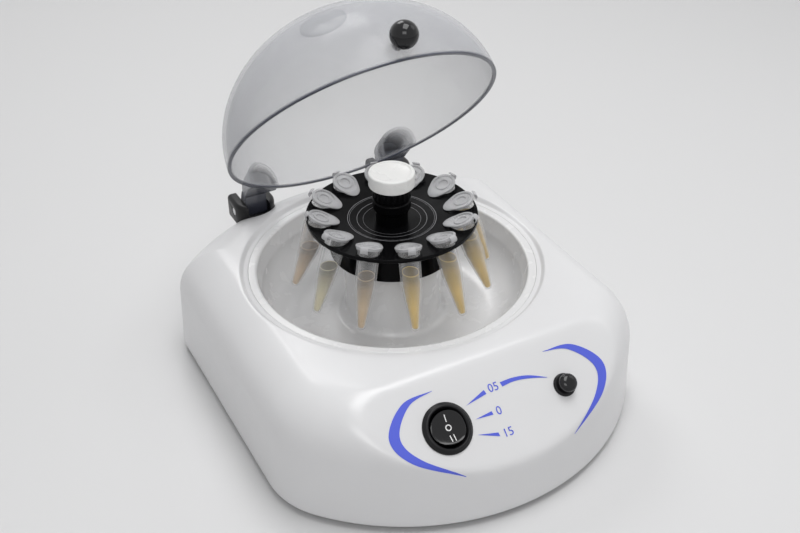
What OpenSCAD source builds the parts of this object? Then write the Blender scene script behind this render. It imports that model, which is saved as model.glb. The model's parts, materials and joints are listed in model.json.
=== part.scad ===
// Bench mini centrifuge for twelve 1.5 ml tubes, with a vortex mixing cup on its shaft.
// The lid stands open. The origin is the centre of the footprint on the bench: +X right, +Y rear, +Z up.

/* [Housing] */
// Width across the parallel sides
body_w = 198; // [190:1:215]
// Depth from the front bulge to the rear bulge
body_d = 234; // [228:1:250]
// Height of the deck above the bench
deck_h = 63.5; // [60:0.5:72]
// Radius of the rounding between the deck and the sides
edge_r = 26; // [22:1:28]
// Wall of the housing moulding
wall = 3; // [2.5:0.25:3.5]
// Lean of the side walls over their height
lean = 1.5; // [0:0.5:3]
// Distance from the front bulge to where the straight sides begin
front_bulge = 67.7; // [64:0.1:76]
// Radius of the front corners in plan
front_corner_r = 42; // [38:1:46]
// Distance from where the straight sides end to the rear bulge
rear_bulge = 45.6; // [40:0.1:50]
// Radius of the rear corners in plan
rear_corner_r = 8; // [6:1:12]
// Height of the rubber feet below the housing
foot_h = 3; // [2:0.5:6]
// Radius of the rubber feet
foot_r = 9; // [7:0.5:11]
// Thickness of the base plate
plate_t = 2.5; // [2:0.25:3]

/* [Control panel] */
// Tilt of the flat panel from horizontal, in degrees
panel_tilt = 38; // [34:1:42]
// Distance of the panel's centre behind the front bulge
panel_back = 21.4; // [19:0.2:24]
// Height of the panel's centre below the deck
panel_drop = 16.7; // [15:0.1:19]
// Rocker switch, distance left of the middle
switch_x = 29.6; // [24:0.2:32]
// Outer radius of the rocker switch bezel
bezel_r = 12; // [11:0.25:13]
// Push button, distance right of the middle
button_x = 33.3; // [28:0.1:36]
// Travel of the push button
button_travel = 2; // [1.5:0.25:2.5]

/* [Bowl] */
// Distance of the bowl's axis in front of the rear bulge
bowl_back = 103.5; // [102:0.5:106]
// Inner radius of the bowl mouth
bowl_r = 69.8; // [67:0.2:70]
// Width of the recess round the bowl mouth
recess_w = 9.1; // [8.7:0.1:10]
// Wall of the bowl liner
bowl_wall = 1.6; // [1.4:0.1:2]
// Depth of the bowl floor below its rim
bowl_depth = 29; // [26:0.5:32]
// Radius between the bowl wall and its floor
bowl_fillet = 20; // [14:1:22]
// Outer radius of the tower that houses the motor
tower_r = 25; // [24:0.25:26]
// Height of the tower's top above the deck
tower_up = 14.5; // [12:0.5:15]

/* [Motor] */
// Radius of the motor can
motor_r = 18; // [16:0.5:19]
// Length of the motor can
motor_len = 46; // [40:1:50]
// Radius of the motor shaft
shaft_r = 2.5; // [2:0.25:3]

/* [Rotor] */
// Number of tubes
tube_count = 12; // [8:1:12]
// Outer radius of the rotor disc
disc_r = 43.4; // [43:0.2:47]
// Thickness of the disc
disc_t = 2.1; // [1.8:0.1:3]
// Height of the disc's rim above the deck
disc_up = 28.4; // [27:0.2:30]
// Fall of the dished disc from its rim to its hub
dish_drop = 4.7; // [3:0.1:6]
// Gap between the tower and the skirt where the skirt leaves the disc
skirt_room = 1.8; // [1.4:0.1:2.2]
// Outward flare of the skirt
skirt_flare = 3.2; // [2.2:0.1:4]
// Height of the skirt's lower edge above the deck
skirt_up = 7.5; // [6:0.5:10]
// Radius of the post that carries the cup
post_r = 9.7; // [9:0.1:10.5]
// Radius of the mixing cup
cup_r = 11.6; // [11:0.1:13]
// Height of the mixing cup
cup_h = 7.3; // [6:0.1:8]
// Height of the cup's top above the deck
cup_up = 51.8; // [48:0.2:52]

/* [Tubes] */
// Slant of the tubes, foot outwards, in degrees
tube_tilt = 22; // [18:1:24]
// Radius of the circle of tube mouths
mouth_circle_r = 36.3; // [36.2:0.1:37.5]
// Length of a tube below its collar
tube_len = 41; // [36:0.5:42]
// Outer radius of a tube
tube_r = 5.4; // [5:0.1:5.5]
// Wall of a tube
tube_wall = 1; // [0.8:0.1:1.2]
// Radius of a tube's cap
cap_r = 6.4; // [6.2:0.1:6.6]

/* [Lid] */
// Distance of the dome's outside beyond the bowl mouth
lid_over = 2.2; // [1.8:0.1:3]
// Height of the dome
lid_h = 60; // [58:0.5:64]
// Wall of the dome
lid_wall = 2; // [1.6:0.1:2.4]
// Opening angle at which the lid stands
lid_open = 49.6; // [0:0.2:65]
// Distance of the hinge pins behind the edge of the recess
hinge_set = 6.4; // [5.4:0.1:8]
// Height of the hinge pins below the deck
hinge_drop = 1.7; // [1:0.1:2.5]
// Distance of each hinge from the middle
hinge_x = 43; // [40:0.5:46]
// Radius of the hinge pins
pin_r = 2; // [1.5:0.1:2.4]
// Radius of the ball knob
knob_r = 6.7; // [6:0.1:6.8]

/* [Clearances] */
// Gap between parts that lie against each other
seat_gap = 0.3; // [0.2:0.05:0.4]
// Radial running clearance of pins and shafts
run_gap = 0.05; // [0.02:0.01:0.1]

/* [Hidden] */
$fn = 96;
tiny = 0.01;
base_edge_r = 2;
front_y = -body_d / 2;
rear_y = body_d / 2;
rotor_y = rear_y - bowl_back;
skin = 0.5;
recess_r = bowl_r + recess_w;
lid_r = bowl_r + lid_over;
hinge_back = recess_r + hinge_set;

// Radius of an end arc that meets the corner arcs of radius r after the given bulge
function bulge_radius(bulge, r) = (pow(body_w / 2 - r, 2) + bulge * bulge - r * r) / (2 * (bulge - r));

front_r = bulge_radius(front_bulge, front_corner_r);
rear_r = bulge_radius(rear_bulge, rear_corner_r);

// ---- plan outline of the housing, drawn inset by a given distance ----

// Points along an arc about c from angle a to angle b, with the start left out when skip is 1
function arc(c, r, a, b, n, skip = 0) =
    [for (i = [skip : n]) c + r * [cos(a + (b - a) * i / n), sin(a + (b - a) * i / n)]];

// Centre of a corner arc that touches a side at half width w and an end arc of radius big_r about [0, cy]
function corner_centre(cy, big_r, w, r, side) = [w - r, cy + side * sqrt(pow(big_r - r, 2) - pow(w - r, 2))];

function half_outline(inset, n) =
    let (w = body_w / 2 - inset,
         front_c = [0, front_y + front_r],
         rear_c = [0, rear_y - rear_r],
         fr = max(front_corner_r - inset, skin),
         rr = max(rear_corner_r - inset, skin),
         c1 = corner_centre(front_c[1], front_r - inset, w, fr, -1),
         c2 = corner_centre(rear_c[1], rear_r - inset, w, rr, 1),
         a1 = atan2(c1[1] - front_c[1], c1[0]),
         a2 = atan2(c2[1] - rear_c[1], c2[0]))
    concat(arc(front_c, front_r - inset, -90, a1, n), arc(c1, fr, a1, 0, n, 1),
        arc(c2, rr, 0, a2, 3), arc(rear_c, rear_r - inset, a2, 90, n, 1));

// The points of the left half, in reverse order, without the two on the middle line
function flipped(points) = [for (i = [len(points) - 2 : -1 : 1]) [-points[i][0], points[i][1]]];

function outline(inset, n) = concat(half_outline(inset, n), flipped(half_outline(inset, n)));

function slice(z, inset, n) = [for (p = outline(inset, n)) [p[0], p[1], z]];

// Solid through a stack of slices that all have the same number of points
module loft(slices) {
    n = len(slices[0]);
    last = (len(slices) - 1) * n;
    polyhedron(
        points = [for (s = slices) for (p = s) p],
        faces = concat(
            [[for (i = [0 : n - 1]) i]],
            [for (j = [0 : len(slices) - 2]) for (i = [0 : n - 1])
                [j * n + i, (j + 1) * n + i, (j + 1) * n + (i + 1) % n, j * n + (i + 1) % n]],
            [[for (i = [n - 1 : -1 : 0]) last + i]]));
}

// Solid with the housing's outer form, drawn inward by t
module body_form(t, z_low, n, steps) {
    r = edge_r - t;
    z_round = deck_h - edge_r;
    loft(concat(
        [slice(z_low, t == 0 ? base_edge_r : t, n), slice(z_low + base_edge_r, t, n)],
        [for (i = [0 : steps])
            slice(z_round + r * sin(90 * i / steps), lean + t + r * (1 - cos(90 * i / steps)), n)]));
}

// ---- control panel: a frame with +Z out of the flat face ----

panel_y = front_y + panel_back;
panel_z = deck_h - panel_drop;

module on_panel(x, y = 0) {
    translate([0, panel_y, panel_z])
        rotate([panel_tilt, 0, 0])
            translate([x, y, 0])
                children();
}

// Everything in front of the panel plane shifted back by t
module beyond_panel(t) {
    on_panel(0, 0)
        translate([-body_w / 2, -60, -t])
            cube([body_w, 95, 60]);
}

module on_axis() {
    translate([0, rotor_y, 0])
        children();
}

// ---- sizes that several pieces share ----

flange_t = 2;
recess_low = deck_h - 2.3;
ledge_z = recess_low - flange_t;
ledge_in = bowl_r + bowl_wall + seat_gap;
flange_r = bowl_r + 4.6;
recess_edge_r = 2.3;
floor_z = recess_low - bowl_depth;
tower_top = deck_h + tower_up;
tower_wall = 2.4;
tower_in = tower_r - tower_wall;
plate_top = foot_h + plate_t;

screw_r = 1.5;
screw_head_r = 2.8;
screw_head_t = 1.6;
boss_r = 4;

// A pair of places, side by side, given from the side walls and along the depth
function pair(from_side, y) = [[-body_w / 2 + from_side, y], [body_w / 2 - from_side, y]];

boss_spots = concat(pair(21, front_y + 53), pair(15, rear_y - 43), pair(46, front_y + 27));
foot_spots = concat(pair(31, front_y + 43), pair(23, rear_y - 37));
bowl_draft = 2;
pillar_angles = [45, 135, 225, 315];
pillar_circle_r = bowl_r - bowl_draft - bowl_fillet - boss_r + 0.2;

block_w = 23;
block_front = hinge_back - 12;
block_rear = hinge_back + 10;
block_low = deck_h - 10;
block_top = deck_h + 4;
block_floor = 2.5;
slot_w = 12.6;
knuckle_w = slot_w - 2 * seat_gap;
knuckle_r = 5;
hinge_z = deck_h - hinge_drop;

socket_z = 20;
socket_r = 7;

switch_hole_r = bezel_r - 2;
switch_depth = 22;
button_hole_r = 4;
button_nut_r = 6.4;

module screw_down(length, head_r = screw_head_r, head_t = screw_head_t) {
    cylinder(h = length, r = screw_r);
    difference() {
        translate([0, 0, length])
            cylinder(h = head_t, r = head_r);
        translate([0, 0, length + head_t / 2])
            cylinder(h = head_t, r = head_r / 2, $fn = 6);
    }
}

// ---- housing ----

module pocket(x, grow, low) {
    translate([x, rotor_y, 0]) {
        translate([-block_w / 2 - grow, block_front + block_w / 2, low])
            cube([block_w + 2 * grow, block_rear - block_front - block_w / 2 + 40, 60]);
        translate([0, block_front + block_w / 2, low])
            cylinder(h = 60, r = block_w / 2 + grow);
    }
}

module cavity() {
    difference() {
        body_form(wall, foot_h - 1, 8, 5);
        beyond_panel(wall);
        // ring that stiffens the recess and carries the bowl
        on_axis()
            difference() {
                translate([0, 0, ledge_z - wall])
                    cylinder(h = 30, r = recess_r + 2);
                translate([0, 0, ledge_z - wall - 1])
                    cylinder(h = 40, r = ledge_in);
            }
        for (x = [-hinge_x, hinge_x])
            pocket(x, wall, block_low - wall);
        for (p = boss_spots)
            translate([p[0], p[1], plate_top])
                cylinder(h = deck_h, r = boss_r);
        translate([0, rear_y - 7, socket_z])
            rotate([-90, 0, 0])
                cylinder(h = 20, r = socket_r + wall);
    }
}

module recess_cut() {
    n = 6;
    r0 = recess_r;
    rotate_extrude($fn = 128)
        polygon(concat(
            [[0, 80], [0, 0], [ledge_in, 0], [ledge_in, ledge_z], [flange_r + seat_gap, ledge_z],
             [flange_r + seat_gap, recess_low - 0.2], [r0 - 2.6, recess_low + 0.3]],
            [for (i = [0 : n])
                [r0 - recess_edge_r * cos(90 * i / n),
                 deck_h - recess_edge_r + recess_edge_r * sin(90 * i / n)]],
            [[r0 + tiny, 80]]));
}

module vents() {
    for (i = [-4 : 4])
        translate([i * 7, rear_y, 33])
            cube([3, 40, 12], center = true);
}

module housing() {
    color("whitesmoke")
        difference() {
            body_form(0, foot_h, 14, 9);
            cavity();
            beyond_panel(0);
            on_axis()
                recess_cut();
            for (x = [-hinge_x, hinge_x]) {
                pocket(x, seat_gap, block_low);
                for (y = hinge_screw_ys)
                    translate([x, rotor_y + y, block_low - wall - 6]) {
                        cylinder(h = 10 + wall, r = screw_r + 0.2);
                        cylinder(h = 6, r = screw_head_r + 0.3);
                    }
            }
            for (p = boss_spots)
                translate([p[0], p[1], 0])
                    cylinder(h = 24, r = screw_r + run_gap);
            on_panel(-switch_x)
                translate([0, 0, -20])
                    cylinder(h = 40, r = switch_hole_r);
            on_panel(button_x)
                translate([0, 0, -20])
                    cylinder(h = 40, r = button_hole_r);
            // flat backs for the nuts behind the panel
            on_panel(-switch_x)
                translate([0, 0, -wall - 12])
                    cylinder(h = 12, r = bezel_r);
            on_panel(button_x)
                translate([0, 0, -wall - 12])
                    cylinder(h = 12, r = button_nut_r + 0.6);
            // flat seat and hole for the power socket
            translate([0, rear_y - 3, socket_z])
                rotate([-90, 0, 0])
                    cylinder(h = 20, r = socket_r + 1);
            translate([0, rear_y - 30, socket_z])
                rotate([-90, 0, 0])
                    cylinder(h = 60, r = socket_r - 1.5);
            vents();
        }
}

module base_plate() {
    color("dimgray")
        difference() {
            translate([0, 0, foot_h])
                linear_extrude(plate_t)
                    polygon(outline(wall + seat_gap, 12));
            for (p = boss_spots)
                translate([p[0], p[1], 0]) {
                    cylinder(h = 20, r = screw_r + 0.2);
                    cylinder(h = foot_h + screw_head_t, r = screw_head_r + 0.2);
                }
            on_axis()
                for (a = pillar_angles)
                    rotate([0, 0, a])
                        translate([pillar_circle_r, 0, 0]) {
                            cylinder(h = 20, r = screw_r + 0.2);
                            cylinder(h = foot_h + screw_head_t, r = screw_head_r + 0.2);
                        }
            for (p = foot_spots)
                translate([p[0], p[1], 0])
                    cylinder(h = 20, r = screw_r + run_gap);
            on_axis()
                for (i = [-5 : 5])
                    translate([i * 6, 0, foot_h])
                        cube([2.5, 40, 20], center = true);
        }
}

module rubber_feet() {
    color("black")
        for (p = foot_spots)
            translate([p[0], p[1], 0])
                difference() {
                    rotate_extrude()
                        polygon([[0, 0], [foot_r - 1, 0], [foot_r, 1], [foot_r - 0.6, foot_h], [0, foot_h]]);
                    translate([0, 0, -1])
                        cylinder(h = 20, r = screw_r + run_gap);
                    translate([0, 0, -1])
                        cylinder(h = 1 + foot_h - 1.2, r = screw_head_r + 0.4);
                }
}

module foot_screws() {
    color("silver")
        for (p = foot_spots)
            translate([p[0], p[1], foot_h - 1.2 + 8])
                mirror([0, 0, 1])
                    screw_down(8, screw_head_r, 1.2);
}

module base_screws() {
    color("silver")
        for (p = boss_spots)
            translate([p[0], p[1], foot_h + screw_head_t + 12])
                mirror([0, 0, 1])
                    screw_down(12);
}

// ---- bowl ----

module bowl() {
    n = 8;
    r_in = bowl_r;
    r_out = bowl_r + bowl_wall;
    lip = 1.4;
    fi = bowl_fillet;
    fo = bowl_fillet + bowl_wall;
    rise = 5;
    inner = concat(
        [for (i = [0 : 4]) [r_in + lip - lip * sin(90 * i / 4), recess_low - lip + lip * cos(90 * i / 4)]],
        [for (i = [0 : n])
            [r_in - bowl_draft - fi + fi * cos(90 * i / n), floor_z + fi - fi * sin(90 * i / n)]],
        [for (i = [0 : n / 2])
            [tower_r + rise - rise * sin(180 * i / n), floor_z + rise - rise * cos(180 * i / n)]],
        [[tower_r, tower_top - 1], [tower_r - 1, tower_top], [0, tower_top]]);
    outer = concat(
        [[0, tower_top - tower_wall], [tower_in, tower_top - tower_wall], [tower_in, floor_z - bowl_wall]],
        [for (i = [n : -1 : 0])
            [r_in - bowl_draft - fi + fo * cos(90 * i / n), floor_z + fi - fo * sin(90 * i / n)]],
        [[r_out, ledge_z], [flange_r, ledge_z], [flange_r, recess_low]]);
    color("gainsboro")
        difference() {
            union() {
                on_axis()
                    rotate_extrude($fn = 128)
                        polygon(concat(inner, outer));
                on_axis()
                    for (a = pillar_angles)
                        rotate([0, 0, a])
                            translate([pillar_circle_r, 0, plate_top])
                                cylinder(h = floor_z - plate_top - bowl_wall / 2, r = boss_r);
            }
            on_axis() {
                cylinder(h = 200, r = seal_r);
                for (a = pillar_angles)
                    rotate([0, 0, a])
                        translate([pillar_circle_r, 0, 0])
                            cylinder(h = plate_top + 12, r = screw_r + run_gap);
                for (a = mount_angles)
                    rotate([0, 0, a])
                        translate([mount_circle_r, 0, floor_z])
                            cylinder(h = 100, r = screw_r + 0.2);
            }
        }
}

module bowl_screws() {
    color("silver")
        on_axis()
            for (a = pillar_angles)
                rotate([0, 0, a])
                    translate([pillar_circle_r, 0, foot_h + screw_head_t + 12])
                        mirror([0, 0, 1])
                            screw_down(12);
}

// ---- motor ----

seal_r = 6;
mount_angles = [30, 150, 270];
mount_circle_r = 13.5;
ring_t = 3;
motor_plate_t = 2;
motor_plate_top = tower_top - tower_wall - ring_t;
motor_top = motor_plate_top - motor_plate_t;
motor_low = motor_top - motor_len;
motor_nose_r = 5;
can_screw_r = 8;

module motor_can() {
    color("silver")
        on_axis()
            difference() {
                union() {
                    rotate_extrude()
                        polygon([[0, motor_low], [motor_r, motor_low], [motor_r, motor_top - 1.5],
                            [motor_r - 1.5, motor_top], [0, motor_top]]);
                    translate([0, 0, motor_top - 1])
                        cylinder(h = motor_plate_t + 1.5, r = motor_nose_r);
                }
                translate([0, 0, motor_top - 12])
                    cylinder(h = 40, r = shaft_r + run_gap);
                for (x = [-can_screw_r, can_screw_r])
                    translate([x, 0, motor_top - 5])
                        cylinder(h = 10, r = screw_r - 0.5);
                translate([0, 0, motor_low - 1])
                    cylinder(h = 1 + 2.6, r = motor_r - 1);
            }
}

module motor_end_cap() {
    color("black")
        on_axis() {
            translate([0, 0, motor_low - 0.6])
                cylinder(h = 3, r = motor_r - 1 - run_gap);
            translate([0, 0, motor_low - 3])
                cylinder(h = 3, r = 7);
            for (x = [-11, 11])
                translate([x - 0.4, -2, motor_low - 6])
                    cube([0.8, 4, 7]);
        }
}

module motor_plate() {
    color("darkgray")
        on_axis()
            difference() {
                translate([0, 0, motor_top])
                    cylinder(h = motor_plate_t, r = tower_in - seat_gap);
                translate([0, 0, motor_top - 1])
                    cylinder(h = 10, r = motor_nose_r + run_gap);
                for (a = mount_angles)
                    rotate([0, 0, a])
                        translate([mount_circle_r, 0, motor_top - 1])
                            cylinder(h = 10, r = screw_r + run_gap);
                for (x = [-can_screw_r, can_screw_r])
                    translate([x, 0, motor_top - 1])
                        cylinder(h = 10, r = screw_r - 0.4);
            }
}

module motor_rings() {
    color("black")
        on_axis()
            for (a = mount_angles)
                rotate([0, 0, a])
                    translate([mount_circle_r, 0, motor_plate_top])
                        difference() {
                            cylinder(h = ring_t, r = 4);
                            translate([0, 0, -1])
                                cylinder(h = 10, r = screw_r + 0.2);
                        }
}

module motor_screws() {
    shank = tower_wall + ring_t + motor_plate_t;
    color("silver")
        on_axis() {
            for (a = mount_angles)
                rotate([0, 0, a])
                    translate([mount_circle_r, 0, tower_top - shank])
                        screw_down(shank);
            for (x = [-can_screw_r, can_screw_r])
                translate([x, 0, motor_top - 4.5]) {
                    cylinder(h = 4.5 + motor_plate_t, r = screw_r - 0.5 - run_gap);
                    translate([0, 0, 4.5 + motor_plate_t])
                        cylinder(h = 1.2, r = 1.9);
                }
        }
}

module shaft_seal() {
    color("black")
        on_axis()
            difference() {
                union() {
                    translate([0, 0, tower_top - tower_wall])
                        cylinder(h = tower_wall + 0.8, r = seal_r - run_gap);
                    translate([0, 0, tower_top])
                        cylinder(h = 0.8, r = seal_r + 1.5);
                }
                cylinder(h = 200, r = shaft_r + 0.4);
            }
}

// ---- circuit board ----

board_w = 62;
board_d = 30;
board_t = 1.6;
terminal_len = 7;
// the board lies behind the switch's terminals, under the bowl
board_y = panel_y + (switch_depth + terminal_len) * sin(panel_tilt) + board_d / 2 + 6;
board_z = plate_top + 5;
board_spots = [[-26, -10], [26, -10], [-26, 10], [26, 10]];

module circuit_board() {
    color("seagreen")
        translate([0, board_y, board_z])
            difference() {
                translate([-board_w / 2, -board_d / 2, 0])
                    cube([board_w, board_d, board_t]);
                for (p = board_spots)
                    translate([p[0], p[1], -1])
                        cylinder(h = 5, r = screw_r + 0.2);
            }
}

module board_parts() {
    top = board_z + board_t;
    color("dimgray")
        translate([0, board_y, top]) {
            for (x = [-14, -5])
                translate([x, 5, 0])
                    cylinder(h = 9, r = 3.4);
            translate([4, -10, 0])
                cube([9, 4.5, 12]);
            translate([-18, -11, 0])
                cube([12, 6, 7]);
            translate([10, 3, 0])
                cube([8, 6, 2]);
            for (x = [-1, 3])
                translate([x, 7, 0])
                    cylinder(h = 5, r = 1.4);
        }
}

module board_screws() {
    color("gold")
        translate([0, board_y, 0])
            for (p = board_spots)
                translate([p[0], p[1], 0]) {
                    difference() {
                        translate([0, 0, plate_top])
                            cylinder(h = 5, r = 3, $fn = 6);
                        translate([0, 0, plate_top + 2])
                            cylinder(h = 5, r = screw_r + run_gap);
                    }
                    translate([0, 0, plate_top + 2.5])
                        screw_down(2.5 + board_t);
                }
}

// ---- power socket ----

socket_face = rear_y - 3;

module power_socket() {
    color("black")
        translate([0, socket_face, socket_z])
            rotate([90, 0, 0])
                difference() {
                    union() {
                        translate([0, 0, -1.4])
                            cylinder(h = 1.4, r = socket_r);
                        cylinder(h = 15, r = socket_r - 1.5 - run_gap);
                        translate([-1.2, -4, 14])
                            cube([2.4, 1, 6]);
                        translate([-1.2, 3, 14])
                            cube([2.4, 1, 6]);
                    }
                    translate([0, 0, -2])
                        cylinder(h = 12, r = 2.75);
                }
}

module socket_nut() {
    color("silver")
        translate([0, socket_face - 4, socket_z])
            rotate([90, 0, 0])
                difference() {
                    cylinder(h = 2.5, r = 8.2, $fn = 6);
                    translate([0, 0, -1])
                        cylinder(h = 6, r = socket_r - 1.5);
                }
}

// ---- hinge blocks ----

hinge_screw_ys = [block_front + 4.5, block_front + 12.5];

module hinge_block(side) {
    pin_y = hinge_back;
    color("black")
        translate([side * hinge_x, rotor_y, 0])
            difference() {
                union() {
                    translate([0, block_front + block_w / 2, block_low])
                        cylinder(h = block_top - block_low - 1, r = block_w / 2);
                    translate([0, block_front + block_w / 2, block_top - 1])
                        cylinder(h = 1, r1 = block_w / 2, r2 = block_w / 2 - 1);
                    translate([-block_w / 2, block_front + block_w / 2, block_low])
                        cube([block_w, block_rear - block_front - block_w / 2, block_top - block_low - 1]);
                    translate([-block_w / 2 + 1, block_front + block_w / 2, block_top - 1 - tiny])
                        cube([block_w - 2, block_rear - block_front - block_w / 2 - 1, 1 + tiny]);
                }
                // slot for the lid's knuckle, open at the front where the lug swings in
                translate([-slot_w / 2, block_front - 5, block_low + block_floor])
                    cube([slot_w, block_rear, 40]);
                translate([-block_w, pin_y, hinge_z])
                    rotate([0, 90, 0])
                        cylinder(h = 2 * block_w, r = pin_r);
                for (y = hinge_screw_ys)
                    translate([0, y, 0])
                        cylinder(h = block_low + block_floor + 1, r = screw_r + run_gap);
            }
}

module hinge_pin(side) {
    color("silver")
        translate([side * hinge_x - block_w / 2, rotor_y + hinge_back, hinge_z])
            rotate([0, 90, 0])
                cylinder(h = block_w, r = pin_r - run_gap / 2);
}

module hinge_screws() {
    color("silver")
        for (x = [-hinge_x, hinge_x])
            for (y = hinge_screw_ys)
                translate([x, rotor_y + y, block_low + block_floor])
                    mirror([0, 0, 1])
                        screw_down(block_floor + wall);
}

// ---- rocker switch ----

well_r = bezel_r - 3;
rocker_r = well_r - seat_gap;
rocker_axis_z = -3;
rocker_pin_r = 1.3;

module switch_body() {
    color("black")
        on_panel(-switch_x)
            difference() {
                union() {
                    rotate_extrude()
                        polygon([[0, 0], [bezel_r, 0], [bezel_r, 0.8], [bezel_r - 1.2, 2], [0, 2]]);
                    translate([0, 0, -wall - 5])
                        cylinder(h = wall + 6, r = switch_hole_r - 0.1);
                    translate([-8, -6.5, -switch_depth])
                        cube([16, 13, switch_depth - wall]);
                }
                translate([0, 0, -wall - 4])
                    cylinder(h = 30, r = well_r);
                translate([-switch_hole_r + 0.6, 0, rocker_axis_z])
                    rotate([0, 90, 0])
                        cylinder(h = 2 * switch_hole_r - 1.2, r = rocker_pin_r + run_gap);
            }
}

module switch_terminals() {
    color("gold")
        on_panel(-switch_x)
            for (y = [-4.5, 0, 4.5])
                translate([-2.4, y - 0.4, -switch_depth - terminal_len])
                    cube([4.8, 0.8, terminal_len]);
}

module rocker() {
    dish_r = 30;
    color("black")
        on_panel(-switch_x) {
            difference() {
                translate([0, 0, rocker_axis_z])
                    intersection() {
                        cylinder(h = 6.6, r = rocker_r);
                        sphere(r = rocker_r);
                    }
                // the two faces of the rocker meet in a shallow valley
                for (s = [-1, 1])
                    translate([0, s * rocker_r / 2, rocker_axis_z + 5 + dish_r])
                        rotate([0, 90, 0])
                            cylinder(h = 40, r = dish_r, center = true, $fn = 180);
            }
            for (s = [-1, 1])
                translate([s * (rocker_r - 1), 0, rocker_axis_z])
                    rotate([0, s * 90, 0])
                        cylinder(h = 1.7, r = rocker_pin_r);
        }
}

// ---- push button ----

button_rim_r = 5.6;
button_cap_r = 4.4;
stem_r = 2;

module button_body() {
    color("black")
        on_panel(button_x)
            difference() {
                union() {
                    rotate_extrude()
                        polygon([[0, 0], [button_rim_r, 0], [button_rim_r, 0.6], [button_rim_r - 0.6, 1.2],
                            [0, 1.2]]);
                    translate([0, 0, -10])
                        cylinder(h = 11, r = button_hole_r - 0.1);
                    translate([-4.5, -4.5, -18])
                        cube([9, 9, 9]);
                    for (x = [-2.5, 2.5])
                        translate([x - 0.3, -1, -22])
                            cube([0.6, 2, 5]);
                }
                translate([0, 0, -9])
                    cylinder(h = 30, r = stem_r + run_gap);
            }
}

module button_nut() {
    color("silver")
        on_panel(button_x)
            translate([0, 0, -wall - 2])
                difference() {
                    cylinder(h = 2, r = button_nut_r, $fn = 6);
                    translate([0, 0, -1])
                        cylinder(h = 5, r = button_hole_r - 0.1);
                }
}

module button_cap() {
    cap_low = 1.2 + button_travel + 0.3;
    color("black")
        on_panel(button_x) {
            translate([0, 0, -8 + button_travel])
                cylinder(h = 8 - button_travel + cap_low + 0.5, r = stem_r);
            rotate_extrude()
                polygon(concat([[0, cap_low], [button_cap_r, cap_low], [button_cap_r, cap_low + 1]],
                    [for (i = [1 : 6]) [button_cap_r * cos(15 * i), cap_low + 1 + 2.2 * sin(15 * i)]]));
        }
}

// ---- rotor ----

disc_z = deck_h + disc_up;
hub_r = 8.9;
dish_slope = dish_drop / (disc_r - hub_r);
function disc_at(r) = disc_z - dish_slope * (disc_r - r);
skirt_z = deck_h + skirt_up;
skirt_t = 2;
skirt_top_r = tower_r + skirt_room + skirt_t;
skirt_low_r = skirt_top_r + skirt_flare;
tab_reach = cap_r + 1.8;
// Height of a tube's mouth above the disc, at which the cap's tab just clears it
mouth_up = tab_reach * (sin(tube_tilt) - dish_slope * cos(tube_tilt)) + 0.16;
web_low = disc_at(hub_r) - disc_t;
post_low = disc_at(hub_r);
cup_top = deck_h + cup_up;
post_top = cup_top - cup_h;
collar_hole_r = tube_r + 0.12;

module motor_shaft() {
    color("silver")
        on_axis()
            translate([0, 0, motor_top - 10])
                cylinder(h = post_top - 4 - motor_top + 10, r = shaft_r);
}

hub_h = 5;
hub_low = web_low - hub_h;

module rotor_hub() {
    color("silver")
        on_axis()
            difference() {
                union() {
                    translate([0, 0, hub_low])
                        cylinder(h = hub_h, r = 7);
                    translate([0, 0, web_low - 1])
                        cylinder(h = 1 + disc_t - 0.2, r = 4.4);
                }
                cylinder(h = 200, r = shaft_r + run_gap / 2);
                translate([0, 0, hub_low + hub_h / 2])
                    rotate([0, 90, 0])
                        cylinder(h = 20, r = 1.3);
            }
}

module hub_screw() {
    color("black")
        on_axis()
            translate([shaft_r + 0.05, 0, hub_low + hub_h / 2])
                rotate([0, 90, 0])
                    difference() {
                        cylinder(h = 4, r = 1.3 - run_gap / 2);
                        translate([0, 0, 2.6])
                            cylinder(h = 4, r = 0.6, $fn = 6);
                    }
}

// Places children in a tube's own frame: +Z up the tube, origin at the centre of its mouth
module at_tube(i) {
    rotate([0, 0, 360 / tube_count * (i + 0.5)])
        translate([mouth_circle_r, 0, disc_at(mouth_circle_r) + mouth_up])
            rotate([0, -tube_tilt, 0])
                children();
}

module rotor() {
    color("black")
        on_axis()
            difference() {
                rotate_extrude($fn = 144)
                    polygon([[0, web_low], [skirt_top_r - skirt_t - 1, disc_at(skirt_top_r) - disc_t],
                        [skirt_low_r - skirt_t, skirt_z], [skirt_low_r, skirt_z],
                        [skirt_top_r, disc_at(skirt_top_r) - disc_t],
                        [disc_r - 0.4, disc_z - disc_t], [disc_r, disc_z - disc_t + 0.4],
                        [disc_r, disc_z - 0.3], [disc_r - 0.3, disc_z],
                        [22.8, disc_at(22.8)], [22.6, disc_at(22.8) - 0.3],
                        [22.2, disc_at(22) - 0.3], [22, disc_at(22)], [18.1, disc_at(18)],
                        [17.9, disc_at(18) - 0.3], [17.5, disc_at(17.4) - 0.3], [17.3, disc_at(17.3)],
                        [hub_r, disc_at(hub_r)], [0, disc_at(hub_r)]]);
                for (i = [0 : tube_count - 1])
                    at_tube(i) {
                        translate([0, 0, -30])
                            cylinder(h = 60, r = collar_hole_r, $fn = 48);
                        translate([0, 0, -1])
                            cylinder(h = 10, r = cap_r + 0.2, $fn = 48);
                    }
                cylinder(h = 200, r = 4.4 + run_gap / 2);
            }
}

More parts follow.
